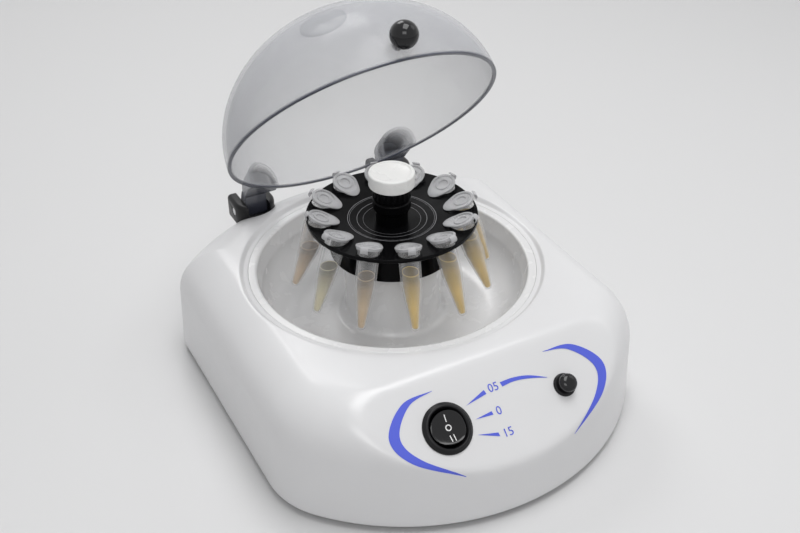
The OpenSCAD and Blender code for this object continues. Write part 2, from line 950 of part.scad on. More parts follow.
module vortex_post() {
    h = post_top - post_low;
    color("black")
        on_axis()
            difference() {
                translate([0, 0, post_low])
                    rotate_extrude()
                        polygon([[0, 0], [post_r - 1.6, 0], [post_r - 1.6, h * 0.3], [post_r - 0.6, h * 0.36],
                            [post_r, h * 0.42], [post_r, h * 0.62], [post_r - 0.5, h * 0.64],
                            [post_r - 0.5, h * 0.68], [post_r, h * 0.7], [post_r, h - 0.6],
                            [post_r - 0.6, h], [0, h]]);
                translate([0, 0, post_low - 1])
                    cylinder(h = h - 4 + 1 + 0.4, r = shaft_r + run_gap / 2);
            }
}

module vortex_cup() {
    n = 6;
    er = 1;
    dimple = 1.2;
    color("white")
        on_axis()
            translate([0, 0, post_top])
                rotate_extrude()
                    polygon(concat([[0, 0], [cup_r - 0.6, 0], [cup_r, 0.6]],
                        [for (i = [0 : n])
                            [cup_r - er + er * cos(90 * i / n), cup_h - er + er * sin(90 * i / n)]],
                        [for (i = [0 : n])
                            [(cup_r - 1.6) * cos(90 * i / n), cup_h - dimple * sin(90 * i / n)]]));
}

// ---- tubes ----

taper_z = -18;
tip_r = 2.2;

// Outer form of a tube, drawn inward by t
function tube_profile(t) = concat(
    [[0, -tube_len + t]],
    [for (i = [1 : 4]) [(tip_r - t / 2) * sin(22.5 * i), -tube_len + tip_r - (tip_r - t) * cos(22.5 * i)]],
    [[tube_r - t - 0.2, taper_z], [tube_r - t, -1]]);

module tube(i) {
    strap_w = 4;
    cap_low = 0.15;
    color("lightblue")
        on_axis()
            at_tube(i)
                union() {
                    difference() {
                        rotate_extrude($fn = 48)
                            polygon(concat(tube_profile(0), [[cap_r - 0.2, -1], [cap_r - 0.2, 0], [0, 0]]));
                        rotate_extrude($fn = 48)
                            polygon(concat(tube_profile(tube_wall), [[tube_r - tube_wall, 1], [0, 1]]));
                    }
                    // cap with its plug, its thumb tab towards the shaft and its strap outwards
                    difference() {
                        union() {
                            translate([0, 0, cap_low])
                                cylinder(h = 1.6, r = cap_r, $fn = 48);
                            translate([0, 0, -3])
                                cylinder(h = 3 + cap_low, r = tube_r - tube_wall - 0.12, $fn = 48);
                            translate([-3, 0, cap_low])
                                cylinder(h = 1.1, r = cap_r - 1.2, $fn = 48);
                        }
                        translate([0, 0, -4])
                            cylinder(h = 4.2, r = tube_r - tube_wall - 1.1, $fn = 48);
                        translate([0, 0, cap_low + 1])
                            cylinder(h = 2, r = cap_r - 1.6, $fn = 48);
                    }
                    translate([cap_r - 1, -strap_w / 2, -1])
                        cube([2.2, strap_w, 1.6 + cap_low]);
                }
}

// ---- lid, modelled closed about the rotor's axis and then swung open ----

rim_z = recess_low + seat_gap;
knob_up = deck_h - rim_z + knob_r + 0.6;
lug_w = 18.6;
lug_h = 15;
lug_wall = 2.2;
rim_band = 2.6;
lug_foot_z = rim_z + rim_band;
lug_rear = block_front + 0.6;

module swung() {
    translate([0, rotor_y + hinge_back, hinge_z])
        rotate([-lid_open, 0, 0])
            translate([0, -hinge_back, -hinge_z])
                children();
}

function dome_arc(r, h, n) = [for (i = [1 : n]) [r * cos(90 * i / n), h * sin(90 * i / n)]];

module dome(r, h, below = 0) {
    translate([0, 0, rim_z])
        rotate_extrude($fn = 128)
            polygon(concat([[0, -below], [r, -below]], [[r, 0]], dome_arc(r, h, 26)));
}

// Side view of a lug: a channel, open below, from the dome wall over the deck's edge to the hinge
module lug_side(t) {
    y_in = lid_r - 22;
    low = rim_z + rim_band - (t > 0 ? tiny : 0);
    rotate([90, 0, 90])
        linear_extrude(lug_w - 2 * t, center = true)
            polygon([[y_in, low], [lug_rear - t, low], [lug_rear - t, lug_foot_z + 5 - t],
                [recess_r - 7, rim_z + lug_h - t], [y_in, rim_z + lug_h - t]]);
}

// Arched front view that rounds the lug's top
module lug_arch(t) {
    w = lug_w / 2 - t;
    translate([0, 100, rim_z])
        rotate([90, 0, 0])
            linear_extrude(100)
                union() {
                    translate([0, lug_h - t - w])
                        circle(r = w, $fn = 48);
                    translate([-w, -5])
                        square([2 * w, lug_h - t - w + 5]);
                }
}

module lug(t) {
    intersection() {
        lug_side(t);
        lug_arch(t);
    }
}

module knuckle() {
    difference() {
        union() {
            translate([-knuckle_w / 2, hinge_back, hinge_z])
                rotate([0, 90, 0])
                    cylinder(h = knuckle_w, r = knuckle_r);
            rotate([90, 0, 90])
                linear_extrude(knuckle_w, center = true)
                    polygon([[lug_rear - lug_wall, lug_foot_z], [lug_rear + 0.6, lug_foot_z],
                        [hinge_back - 3, hinge_z - 4], [hinge_back, hinge_z],
                        [hinge_back + 3.6, hinge_z + 3.4],
                        [hinge_back - 8, lug_foot_z + 5], [lug_rear - lug_wall, lug_foot_z + 5]]);
        }
        translate([-lug_w, hinge_back, hinge_z])
            rotate([0, 90, 0])
                cylinder(h = 2 * lug_w, r = pin_r + run_gap);
    }
}

module lid() {
    lug_x = hinge_x - 2.4;
    color("lightgray", 0.5)
        swung()
            difference() {
                union() {
                    dome(lid_r, lid_h);
                    for (x = [-lug_x, lug_x])
                        translate([x, 0, 0])
                            lug(0);
                    for (x = [-hinge_x, hinge_x])
                        translate([x, 0, 0])
                            knuckle();
                }
                dome(lid_r - lid_wall, lid_h - lid_wall, 1);
                // each lug is hollow and opens into the dome through an arch
                for (x = [-lug_x, lug_x])
                    translate([x, 0, 0])
                        lug(lug_wall);
                translate([0, -lid_r + 8, rim_z + knob_up])
                    rotate([90, 0, 0])
                        cylinder(h = 40, r = screw_r + 0.1);
            }
}

module lid_disc() {
    color("lightgray")
        swung()
            difference() {
                translate([0, 0, rim_z + lid_h - 2])
                    cylinder(h = 3, r = 12.8);
                dome(lid_r, lid_h);
            }
}

module lid_knob() {
    color("black")
        swung()
            translate([0, -lid_r, rim_z + knob_up])
                rotate([90, 0, 0])
                    difference() {
                        union() {
                            translate([0, 0, knob_r - 1])
                                sphere(r = knob_r);
                            cylinder(h = 2, r = 4.4);
                        }
                        translate([0, 0, -20])
                            cylinder(h = 20 + 0.2, r = 20);
                        translate([0, 0, -1])
                            cylinder(h = 8, r = screw_r + run_gap);
                    }
}

module knob_screw() {
    head_r = 2.6;
    head_h = 1.4;
    // the dome's inner wall at the top of the head, which rests against it
    seat_y = (lid_r - lid_wall) * sqrt(1 - pow((knob_up + head_r) / (lid_h - lid_wall), 2)) - 0.06;
    color("silver")
        swung()
            translate([0, -seat_y, rim_z + knob_up])
                rotate([90, 0, 0]) {
                    translate([0, 0, -head_h])
                        cylinder(h = head_h, r = head_r);
                    cylinder(h = 7.8, r = screw_r);
                }
}

housing();
base_plate();
rubber_feet();
foot_screws();
base_screws();
bowl();
bowl_screws();
motor_can();
motor_end_cap();
motor_plate();
motor_rings();
motor_screws();
shaft_seal();
circuit_board();
board_parts();
board_screws();
power_socket();
socket_nut();
hinge_block(-1);  // hinge_block_left
hinge_block(1);  // hinge_block_right
hinge_screws();
hinge_pin(-1);  // hinge_pin_left
hinge_pin(1);  // hinge_pin_right
switch_body();
switch_terminals();
rocker();
button_body();
button_nut();
button_cap();
motor_shaft();
rotor_hub();
hub_screw();
rotor();
vortex_post();
vortex_cup();
tube(0);  // tube_01
tube(1);  // tube_02
tube(2);  // tube_03
tube(3);  // tube_04
tube(4);  // tube_05
tube(5);  // tube_06
tube(6);  // tube_07
tube(7);  // tube_08
tube(8);  // tube_09
tube(9);  // tube_10
tube(10);  // tube_11
tube(11);  // tube_12
lid();
lid_disc();
lid_knob();
knob_screw();
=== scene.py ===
import json
import math

import bmesh
import bpy
import numpy as np
from mathutils import Matrix, Vector
from mathutils.bvhtree import BVHTree


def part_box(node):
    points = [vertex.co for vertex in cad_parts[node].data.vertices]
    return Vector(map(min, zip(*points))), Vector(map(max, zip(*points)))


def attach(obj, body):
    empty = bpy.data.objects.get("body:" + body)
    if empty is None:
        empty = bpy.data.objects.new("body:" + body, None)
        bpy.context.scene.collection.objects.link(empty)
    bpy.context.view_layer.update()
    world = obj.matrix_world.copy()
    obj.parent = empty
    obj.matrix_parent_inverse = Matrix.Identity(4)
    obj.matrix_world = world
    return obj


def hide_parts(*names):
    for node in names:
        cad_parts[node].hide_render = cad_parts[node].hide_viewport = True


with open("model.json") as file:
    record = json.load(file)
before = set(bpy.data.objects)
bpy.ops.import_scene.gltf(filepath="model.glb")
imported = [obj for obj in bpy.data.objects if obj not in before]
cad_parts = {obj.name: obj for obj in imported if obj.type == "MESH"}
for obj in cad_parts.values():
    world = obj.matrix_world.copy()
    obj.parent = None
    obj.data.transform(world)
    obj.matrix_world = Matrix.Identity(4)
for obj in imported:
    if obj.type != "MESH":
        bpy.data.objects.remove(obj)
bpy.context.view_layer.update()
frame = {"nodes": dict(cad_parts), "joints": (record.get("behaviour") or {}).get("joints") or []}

mm = 0.001
scene = bpy.context.scene
scene.view_settings.view_transform = "Standard"


def boxOf(node):
    low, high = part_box(node)
    return np.array(low) / mm, np.array(high) / mm  # millimetres


housingLow, housingHigh = boxOf("housing")
bodyW = housingHigh[0] - housingLow[0]
bodyD = housingHigh[1] - housingLow[1]
deckZ = housingHigh[2]
footH = housingLow[2]
cupLow, cupHigh = boxOf("vortex_cup")
rotorY = (cupLow[1] + cupHigh[1]) / 2
bowlLow, bowlHigh = boxOf("bowl")
hinge = next(j for j in frame["joints"] if j["name"] == "lid_hinge")
hingeY = hinge["pos_m"][1] / mm
hingeZ = hinge["pos_m"][2] / mm


# mesh helpers, in millimetres


def evaluatedMesh(piece):
    return bpy.data.meshes.new_from_object(piece.evaluated_get(bpy.context.evaluated_depsgraph_get()))


def newPiece(name, mesh):
    piece = bpy.data.objects.new(name, mesh)
    scene.collection.objects.link(piece)
    return piece


def makeObject(name, verts, faces):
    mesh = bpy.data.meshes.new(name)
    mesh.from_pydata([tuple(float(c) * mm for c in v) for v in verts], [], [tuple(map(int, f)) for f in faces])
    mesh.validate()
    return newPiece(name, mesh)


def shade(piece, sharpAngle=32):
    bm = bmesh.new()
    bm.from_mesh(piece.data)
    limit = math.radians(sharpAngle)
    for face in bm.faces:
        face.smooth = True
    for edge in bm.edges:
        edge.smooth = not (len(edge.link_faces) == 2 and edge.calc_face_angle(0) > limit)
    bm.to_mesh(piece.data)
    bm.free()
    return piece


def outward(piece):
    bm = bmesh.new()
    bm.from_mesh(piece.data)
    bmesh.ops.remove_doubles(bm, verts=bm.verts, dist=0.002 * mm)
    bmesh.ops.recalc_face_normals(bm, faces=bm.faces)
    bm.to_mesh(piece.data)
    bm.free()
    return piece


def moved(piece, matrix):
    piece.data.transform(matrix)
    if matrix.determinant() < 0:
        piece.data.flip_normals()
    return piece


def shift(x, y, z):
    return Matrix.Translation(Vector((x, y, z)) * mm)


def atRotor(piece):
    return moved(piece, shift(0, rotorY, 0))


def turn(degrees, axis):
    return Matrix.Rotation(math.radians(degrees), 4, axis)


def polar(degrees):
    angle = math.radians(degrees)
    return math.cos(angle), math.sin(angle)


# a profile with its corners turned into arcs; a short flat at each end of an arc keeps the shading crisp
def rounded(points, radii, steps=5):
    out = []
    count = len(points)
    for i, point in enumerate(points):
        radius = radii[i] if isinstance(radii, (list, tuple)) else radii
        if radius <= 0 or i in (0, count - 1):
            out.append(tuple(point))
            continue
        p = np.array(point, float)
        a = np.array(points[i - 1], float) - p
        b = np.array(points[i + 1], float) - p
        la, lb = np.linalg.norm(a), np.linalg.norm(b)
        a, b = a / la, b / lb
        half = math.acos(max(-1, min(1, float(a @ b)))) / 2
        if half > math.pi / 2 - 0.02:  # nearly straight
            out.append(tuple(point))
            continue
        cut = min(radius / math.tan(half), 0.48 * la, 0.48 * lb)
        radius = cut * math.tan(half)
        centre = p + (a + b) / np.linalg.norm(a + b) * radius / math.sin(half)
        start = p + a * cut - centre
        end = p + b * cut - centre
        sweep = math.pi - 2 * half
        holdA = min(0.25 * cut, 0.3, 0.49 * la - cut)
        holdB = min(0.25 * cut, 0.3, 0.49 * lb - cut)
        if holdA > 0.01:
            out.append(tuple(p + a * (cut + holdA)))
        for k in range(steps + 1):
            t = k / steps
            spoke = (math.sin((1 - t) * sweep) * start + math.sin(t * sweep) * end) / math.sin(sweep)
            out.append(tuple(centre + spoke))
        if holdB > 0.01:
            out.append(tuple(p + b * (cut + holdB)))
    return out


def arcPoints(centre, radius, start, end, steps):
    angles = [math.radians(start + (end - start) * k / steps) for k in range(steps + 1)]
    return [(centre[0] + radius * math.cos(a), centre[1] + radius * math.sin(a)) for a in angles]


# adds a ring of vertices to the list and gives their numbers
def addRing(verts, count, pointAt):
    start = len(verts)
    verts += [pointAt(2 * math.pi * k / count) for k in range(count)]
    return list(range(start, start + count))


def circle(radius, height):
    return lambda a: (radius * math.cos(a), radius * math.sin(a), height)


# quads from each ring of vertex numbers to the next
def bridged(rings):
    return [(low[k - 1], low[k], high[k], high[k - 1])
            for low, high in zip(rings, rings[1:]) for k in [*range(1, len(low)), 0]]


def fan(ring, centre):
    return [(ring[k - 1], ring[k], centre) for k in [*range(1, len(ring)), 0]]


def numberedRings(rings, count):
    return [list(range(k * count, (k + 1) * count)) for k in range(rings)]


def revolve(name, profile, segments=128, closed=False):
    verts, rings = [], []
    for radius, height in profile:
        if radius < 1e-6:  # a point on the axis
            rings.append([len(verts)] * segments)
            verts.append((0, 0, height))
        else:
            rings.append(addRing(verts, segments, circle(radius, height)))
    if closed:
        rings.append(rings[0])
    faces = [list(dict.fromkeys(quad)) for quad in bridged(rings)]
    return outward(makeObject(name, verts, [face for face in faces if len(face) > 2]))


def drill(radius, reach, segments):
    return revolve("drill", [(0, -reach), (radius, -reach), (radius, reach), (0, reach)], segments)


def cut(piece, cutter, operation="DIFFERENCE"):
    modifier = piece.modifiers.new("cut", "BOOLEAN")
    modifier.operation = operation
    modifier.solver = "EXACT"
    modifier.object = cutter
    mesh = evaluatedMesh(piece)
    piece.modifiers.clear()
    old = piece.data
    piece.data = mesh
    bpy.data.meshes.remove(old)
    bpy.data.objects.remove(cutter)
    return piece


def joined(name, pieces):
    bm = bmesh.new()
    for piece in pieces:
        bm.from_mesh(piece.data)
    mesh = bpy.data.meshes.new(name)
    bm.to_mesh(mesh)
    bm.free()
    for piece in pieces:
        bpy.data.objects.remove(piece)
    return newPiece(name, mesh)


def prism(name, outline, low, high):
    verts = [(x, y, z) for z in (low, high) for x, y in outline]
    foot, top = numberedRings(2, len(outline))
    return outward(makeObject(name, verts, [foot[::-1], top] + bridged([foot, top])))


def boxSolid(name, low, high):
    return prism(name, [(low[0], low[1]), (high[0], low[1]), (high[0], high[1]), (low[0], high[1])], low[2], high[2])


def bevelled(piece, width, segments=3, angle=35):
    modifier = piece.modifiers.new("bevel", "BEVEL")
    modifier.width = width * mm
    modifier.segments = segments
    modifier.limit_method = "ANGLE"
    modifier.angle_limit = math.radians(angle)
    modifier.harden_normals = False
    mesh = evaluatedMesh(piece)
    piece.modifiers.clear()
    piece.data = mesh
    return piece


# a number at each vertex, for the materials to read
def mark(piece, name, values):
    piece.data.attributes.new(name, "FLOAT", "POINT").data.foreach_set("value", values)


def finishPiece(piece, body, finish, nodes=(), sharpAngle=32):
    shade(piece, sharpAngle)
    piece.data.materials.clear()
    piece.data.materials.append(finish.material)
    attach(piece, body)
    if nodes:
        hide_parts(*nodes)
    return piece


# materials

noiseLow, noiseHigh = 0.3, 0.7  # where a noise texture's values mostly lie


def socketName(word):  # coatWeight is the socket Coat Weight
    return "".join(" " + letter if letter.isupper() else letter for letter in word).title().replace("Ior", "IOR")


class Finish:
    def __init__(self, name, colour, roughness, **sockets):
        self.material = bpy.data.materials.new(name)
        self.material.use_nodes = True
        self.tree = self.material.node_tree
        self.shader = self.tree.nodes["Principled BSDF"]
        self.shader.inputs["Base Color"].default_value = (*colour, 1)
        self.shader.inputs["Roughness"].default_value = roughness
        for socket, value in sockets.items():
            self.shader.inputs[socketName(socket)].default_value = value
        self.coords = self.tree.nodes.new("ShaderNodeTexCoord").outputs["Object"]

    def node(self, kind, **values):
        made = self.tree.nodes.new(kind)
        for key, value in values.items():
            if hasattr(made, key):
                setattr(made, key, value)
            else:
                made.inputs[socketName(key)].default_value = value
        return made

    def link(self, a, b):
        self.tree.links.new(a, b)

    def noise(self, size, detail=3, stretch=(1, 1, 1)):  # size in millimetres
        mapping = self.node("ShaderNodeMapping", scale=stretch)
        self.link(self.coords, mapping.inputs["Vector"])
        made = self.node("ShaderNodeTexNoise", scale=1 / (size * mm), detail=detail)
        self.link(mapping.outputs[0], made.inputs["Vector"])
        return made.outputs["Fac"]

    def spread(self, value, low, high, start=noiseLow, end=noiseHigh):
        made = self.node("ShaderNodeMapRange", fromMin=start, fromMax=end, toMin=low, toMax=high)
        self.link(value, made.inputs["Value"])
        return made.outputs[0]

    def ramp(self, value, stops, interpolation="LINEAR"):
        made = self.node("ShaderNodeValToRGB")
        made.color_ramp.interpolation = interpolation
        while len(made.color_ramp.elements) < len(stops):
            made.color_ramp.elements.new(0.5)
        for k, (place, colour) in enumerate(stops):
            made.color_ramp.elements[k].position = place
            made.color_ramp.elements[k].color = (*colour, 1)
        self.link(value, made.inputs["Fac"])
        return made.outputs["Color"]

    def tone(self, value, dark, light):
        self.link(self.ramp(value, [(noiseLow, dark), (noiseHigh, light)]), self.shader.inputs["Base Color"])

    def rough(self, value, low, high):
        self.link(self.spread(value, low, high), self.shader.inputs["Roughness"])

    def bump(self, value, height):  # height in millimetres
        made = self.node("ShaderNodeBump", strength=1, distance=height * mm)
        self.link(value, made.inputs["Height"])
        self.link(made.outputs[0], self.shader.inputs["Normal"])

    def mixed(self, kind, share, first, second, **settings):
        sockets = {"FLOAT": (2, 3, 0), "RGBA": (6, 7, 2)}[kind]
        made = self.node("ShaderNodeMix", data_type=kind, **settings)
        for source, socket in ((share, 0), (first, sockets[0]), (second, sockets[1])):
            if isinstance(source, bpy.types.NodeSocket):
                self.link(source, made.inputs[socket])
            else:
                made.inputs[socket].default_value = source
        return made.outputs[sockets[2]]

    def attribute(self, name):
        return self.node("ShaderNodeAttribute", attribute_name=name).outputs["Fac"]


def scaled(colour, factor):
    return tuple(c * factor for c in colour)


def moulded(name, colour, roughness, grain=0.5, grainHeight=0.012, vary=0.04, **sockets):
    finish = Finish(name, colour, roughness, **sockets)
    clouds = finish.noise(45, 4)
    finish.tone(clouds, scaled(colour, 1 - vary), scaled(colour, 1 + vary / 2))
    finish.rough(finish.noise(9, 5), roughness * 0.88, roughness * 1.12)
    finish.bump(finish.noise(grain, 2), grainHeight)
    return finish


def metal(name, colour, roughness, stretch=(1, 1, 12)):
    finish = Finish(name, colour, roughness, metallic=1.0)
    streaks = finish.noise(1.2, 4, stretch)
    finish.tone(streaks, scaled(colour, 0.86), scaled(colour, 1.08))
    finish.rough(streaks, roughness * 0.8, roughness * 1.25)
    finish.bump(finish.noise(0.4, 2, stretch), 0.006)
    return finish


# clear seen face on and more solid towards its edges; where the marked attribute is 1 it takes the darker colour and
# is nearly solid, for painted shade
def clearPlastic(name, colour, facing, edge, roughness, darker=None, marked=None, blend=0.35):
    finish = Finish(name, colour, roughness, ior=1.5)
    weight = finish.node("ShaderNodeLayerWeight", blend=blend)
    clouds = finish.noise(30, 3)
    alpha = finish.node("ShaderNodeMath", operation="MULTIPLY")
    finish.link(finish.spread(weight.outputs["Facing"], facing, edge, 0, 1), alpha.inputs[0])
    finish.link(finish.spread(clouds, 0.94, 1.06), alpha.inputs[1])
    finish.tone(clouds, scaled(colour, 0.97), scaled(colour, 1.02))
    solidity, paint = alpha.outputs[0], finish.shader.inputs["Base Color"]
    if marked:
        share = finish.attribute(marked)
        solidity = finish.mixed("FLOAT", share, solidity, 0.9)
        finish.link(finish.mixed("RGBA", share, paint.links[0].from_socket, (*darker, 1)), paint)
    finish.link(solidity, finish.shader.inputs["Alpha"])
    finish.rough(finish.noise(6, 4), roughness * 0.8, roughness * 1.3)
    return finish


whiteShell = moulded("whiteShell", (0.74, 0.74, 0.75), 0.34,
                     grain=0.35, grainHeight=0.008, vary=0.015, coatWeight=0.45, coatRoughness=0.18)
bowlWhite = moulded("bowlWhite", (0.75, 0.75, 0.755), 0.26,
                    grain=0.6, grainHeight=0.006, vary=0.02, coatWeight=0.9, coatRoughness=0.26)
blackMoulding = moulded("blackMoulding", (0.006, 0.006, 0.007), 0.34,
                        grain=0.4, grainHeight=0.01, vary=0.2, specularIorLevel=0.25)
blackGloss = moulded("blackGloss", (0.003, 0.003, 0.004), 0.09,
                     grain=1.2, grainHeight=0.002, vary=0.2, specularIorLevel=0.4)
rotorBlack = moulded("rotorBlack", (0.003, 0.003, 0.0035), 0.24,
                     grain=0.5, grainHeight=0.004, vary=0.25, specularIorLevel=0.06)
rubberBlack = moulded("rubberBlack", (0.018, 0.018, 0.018), 0.75, grain=0.4, grainHeight=0.02, vary=0.2)
steel = metal("steel", (0.6, 0.6, 0.61), 0.28)
brassMetal = metal("brassMetal", (0.72, 0.52, 0.24), 0.3)
boardGreen = moulded("boardGreen", (0.02, 0.13, 0.06), 0.35, grain=1.5, vary=0.15)
platePaint = moulded("platePaint", (0.05, 0.05, 0.052), 0.5, grain=0.5, grainHeight=0.02, vary=0.1)
printBlue = moulded("printBlue", (0.085, 0.12, 0.68), 0.4, grain=0.4, grainHeight=0.004, vary=0.05)
printWhite = moulded("printWhite", (0.8, 0.8, 0.8), 0.4, grain=0.4, grainHeight=0.004, vary=0.03)
cupWhite = moulded("cupWhite", (0.9, 0.9, 0.885), 0.28,
                   grain=0.8, grainHeight=0.003, vary=0.02, subsurfaceWeight=0.15, subsurfaceRadius=(2 * mm,) * 3)
# the dome's dark colour is painted shade, along the rim's edge and over the lugs
domeClear = clearPlastic("domeClear", (0.52, 0.53, 0.56), 0.14, 0.95, 0.2, (0.05, 0.055, 0.08), "paintedEdgeShade", 0.16)
tubeClear = clearPlastic("tubeClear", (0.9, 0.9, 0.91), 0.06, 0.55, 0.09)
print("materials made")

# housing shell

housing = {
    "wall": 3, "edgeRadius": 26, "lean": 1.5, "frontRadius": 118.06, "frontCorner": 42,
    "rearRadius": 136.92, "rearCorner": 8, "bottomRadius": 2,
    "recessRadius": 78.9, "recessFillet": 2.3, "recessStep": 2.3, "ledgeDrop": 2, "ledgeWidth": 4.6,
    "bowlWall": 1.6, "bowlGap": 0.3, "seatGap": 0.08, "seatDrop": 0.12, "seatEdge": 0.15, "pocketGap": 0.25,
    "panelTilt": 38, "panelBack": 21.4, "panelDrop": 16.7, "panelSoftness": 0.9, "insideSoftness": 0.2,
    "segments": 720,  # around the housing
}
recessLow = deckZ - housing["recessStep"]
ledgeZ = recessLow - housing["ledgeDrop"]
bowlFlange = (bowlHigh[0] - bowlLow[0]) / 2
bowlMouth = bowlFlange - housing["ledgeWidth"]
ledgeIn = bowlMouth + housing["bowlWall"] + housing["bowlGap"]
panelY = -bodyD / 2 + housing["panelBack"]
panelZ = deckZ - housing["panelDrop"]
tiltCos, tiltSin = polar(housing["panelTilt"])
panelNormal = np.array([0, -tiltSin, tiltCos])
panelPoint = np.array([0, panelY, panelZ])


# the right half of the plan, a bulged front, a straight side and a bulged rear, set in from its widest
def planOutline(inset):
    h = housing
    frontY, rearY = -bodyD / 2 + h["frontRadius"], bodyD / 2 - h["rearRadius"]  # the two bulges' centres
    half, frontR, rearR = bodyW / 2 - inset, h["frontRadius"] - inset, h["rearRadius"] - inset
    frontFillet, rearFillet = max(h["frontCorner"] - inset, 0.5), max(h["rearCorner"] - inset, 0.5)
    front = (half - frontFillet, frontY - math.sqrt((frontR - frontFillet) ** 2 - (half - frontFillet) ** 2))
    rear = (half - rearFillet, rearY + math.sqrt((rearR - rearFillet) ** 2 - (half - rearFillet) ** 2))
    frontEnd = math.degrees(math.atan2(front[1] - frontY, front[0]))
    rearStart = math.degrees(math.atan2(rear[1] - rearY, rear[0]))
    points = arcPoints((0, frontY), frontR, -90, frontEnd, 200) + arcPoints(front, frontFillet, frontEnd, 0, 90)
    points += [(half, front[1] + (rear[1] - front[1]) * k / 150) for k in range(1, 150)]
    points += arcPoints(rear, rearFillet, 0, rearStart, 40) + arcPoints((0, rearY), rearR, rearStart, 90, 200)
    return np.array(points)


thetas = np.linspace(-math.pi, math.pi, housing["segments"], endpoint=False)  # directions from the rotor's axis
insetSteps = np.concatenate([np.linspace(0, 6, 25), np.linspace(6.5, 62, 112)])


# the plan's distance from the rotor's axis, one row for each inset and one column for each direction
def radiusTable():
    rows = []
    for inset in insetSteps:
        points = planOutline(inset)
        angle = np.arctan2(points[:, 1] - rotorY, points[:, 0])
        radius = np.hypot(points[:, 0], points[:, 1] - rotorY)
        angle = np.concatenate([angle, math.pi - angle])  # and the left half
        radius = np.concatenate([radius, radius])
        angle = (angle + math.pi) % (2 * math.pi) - math.pi
        order = np.argsort(angle)
        rows.append(np.interp(thetas, angle[order], radius[order], period=2 * math.pi))
    return np.array(rows)


outlineRadius = radiusTable()


# the plan's radius in each direction at an inset, and the inset at a radius
def radiusAt(inset):
    inset = np.broadcast_to(np.asarray(inset, float), thetas.shape)
    place = np.interp(inset, insetSteps, np.arange(len(insetSteps)))
    low = np.clip(np.floor(place).astype(int), 0, len(insetSteps) - 2)
    part = place - low
    column = np.arange(len(thetas))
    return outlineRadius[low, column] * (1 - part) + outlineRadius[low + 1, column] * part


def insetAt(radius):
    return np.array([np.interp(-radius, -outlineRadius[:, k], insetSteps) for k in range(len(thetas))])


def ringPoints(radius, z):
    radius = np.broadcast_to(radius, thetas.shape)
    z = np.broadcast_to(z, thetas.shape)
    return np.stack([radius * np.cos(thetas), rotorY + radius * np.sin(thetas), z], 1)


# rings from the recess out over the flat deck and down the rounded shoulder, t inside the outer face
def shoulder(t, innerRadius, steps):
    r = housing["edgeRadius"] - t
    top = deckZ - t
    lean = housing["lean"] + t
    insetInner = insetAt(innerRadius)
    reach = np.clip((insetInner - lean) / r, 0, 1)
    phiMax = np.arccos(1 - reach)
    rings = []
    flatSteps = max(2, steps // 3)
    edgeRadius = radiusAt(lean + r * (1 - np.cos(phiMax)))
    for k in range(flatSteps):
        part = k / flatSteps
        radius = innerRadius * (1 - part) + edgeRadius * part
        phi = np.where(reach < 1, phiMax, math.pi / 2)
        rings.append(ringPoints(radius, top - r + r * np.sin(phi)))
    for k in range(steps + 1):
        phi = phiMax * (1 - k / steps)
        rings.append(ringPoints(radiusAt(lean + r * (1 - np.cos(phi))), top - r + r * np.sin(phi)))
    return rings


# presses the points above the tilted control face down onto it, with a soft border
def softPanel(points, depth, softness):
    d = (points - panelPoint) @ panelNormal + depth
    flat = -softness * np.logaddexp(0, -d / softness)
    return points - panelNormal * (d - flat)[:, None]


def makeHousing():
    h = housing
    recessR = h["recessRadius"]
    seatR, seatTop = bowlFlange + h["seatGap"], recessLow - h["seatDrop"]
    rise = np.clip(h["edgeRadius"] - (insetAt(recessR) - h["lean"]), 0, None)
    topZ = deckZ - h["edgeRadius"] + np.sqrt(h["edgeRadius"] ** 2 - rise ** 2)  # the deck at the recess's edge
    outer = [ringPoints(ledgeIn, ledgeZ - h["wall"]), ringPoints(ledgeIn, ledgeZ)]
    outer += [ringPoints(seatR, ledgeZ), ringPoints(seatR, seatTop)]
    for a in (0, 30, 60, 90):
        c, s = polar(a)
        outer.append(ringPoints(seatR + h["seatEdge"] * (1 - c), seatTop + h["seatEdge"] * s))
    low, slope = recessLow + 0.04, h["recessFillet"] * 1.1
    for k in range(13):  # the recess's wall, an easy S
        t = k / 12
        ease = t * t * (3 - 2 * t)
        outer.append(ringPoints(recessR - slope + slope * t, low + (topZ - low) * ease))
    outer += shoulder(0, recessR, 26)
    side = deckZ - h["edgeRadius"]
    for k in range(1, 13):
        part = k / 12
        outer.append(ringPoints(radiusAt(h["lean"] * (1 - part)), side + (footH + h["bottomRadius"] - side) * part))
    for a in (22, 45, 68, 90):
        c, s = polar(a)
        outer.append(ringPoints(radiusAt(h["bottomRadius"] * (1 - c)), footH + h["bottomRadius"] * (1 - s)))
    outer = [softPanel(ring, 0, h["panelSoftness"]) for ring in outer]
    inner = [ringPoints(radiusAt(h["wall"]), footH), ringPoints(radiusAt(h["wall"] + h["lean"]), side)]
    inner += shoulder(h["wall"], recessR + 2, 8)[::-1]
    inner.append(ringPoints(recessR + 2, ledgeZ - h["wall"]))
    inner = [softPanel(ring, h["wall"], h["insideSoftness"]) for ring in inner]
    numbers = numberedRings(len(outer) + len(inner), len(thetas))
    return outward(makeObject("housingShell", np.concatenate(outer + inner), bridged(numbers + numbers[:1])))


# a hinge block's plan, round towards the rotor
def blockPlan(low, high, grow):
    half = (high[0] - low[0]) / 2 + grow
    x = (high[0] + low[0]) / 2
    y = low[1] + (high[0] - low[0]) / 2
    return [(x + half, high[1] + grow), (x - half, high[1] + grow)] + arcPoints((x, y), half, 180, 360, 24)


shell = makeHousing()
for blockNode in ("hinge_block_left", "hinge_block_right"):
    low, high = boxOf(blockNode)
    cut(shell, prism("pocket", blockPlan(low, high, housing["pocketGap"]), low[2], deckZ + 20))


# from flat to the tilted control face, x to the right along it
def panelMatrix(x=0):
    return shift(0, panelY, panelZ) @ turn(housing["panelTilt"], "X") @ shift(x, 0, 0)


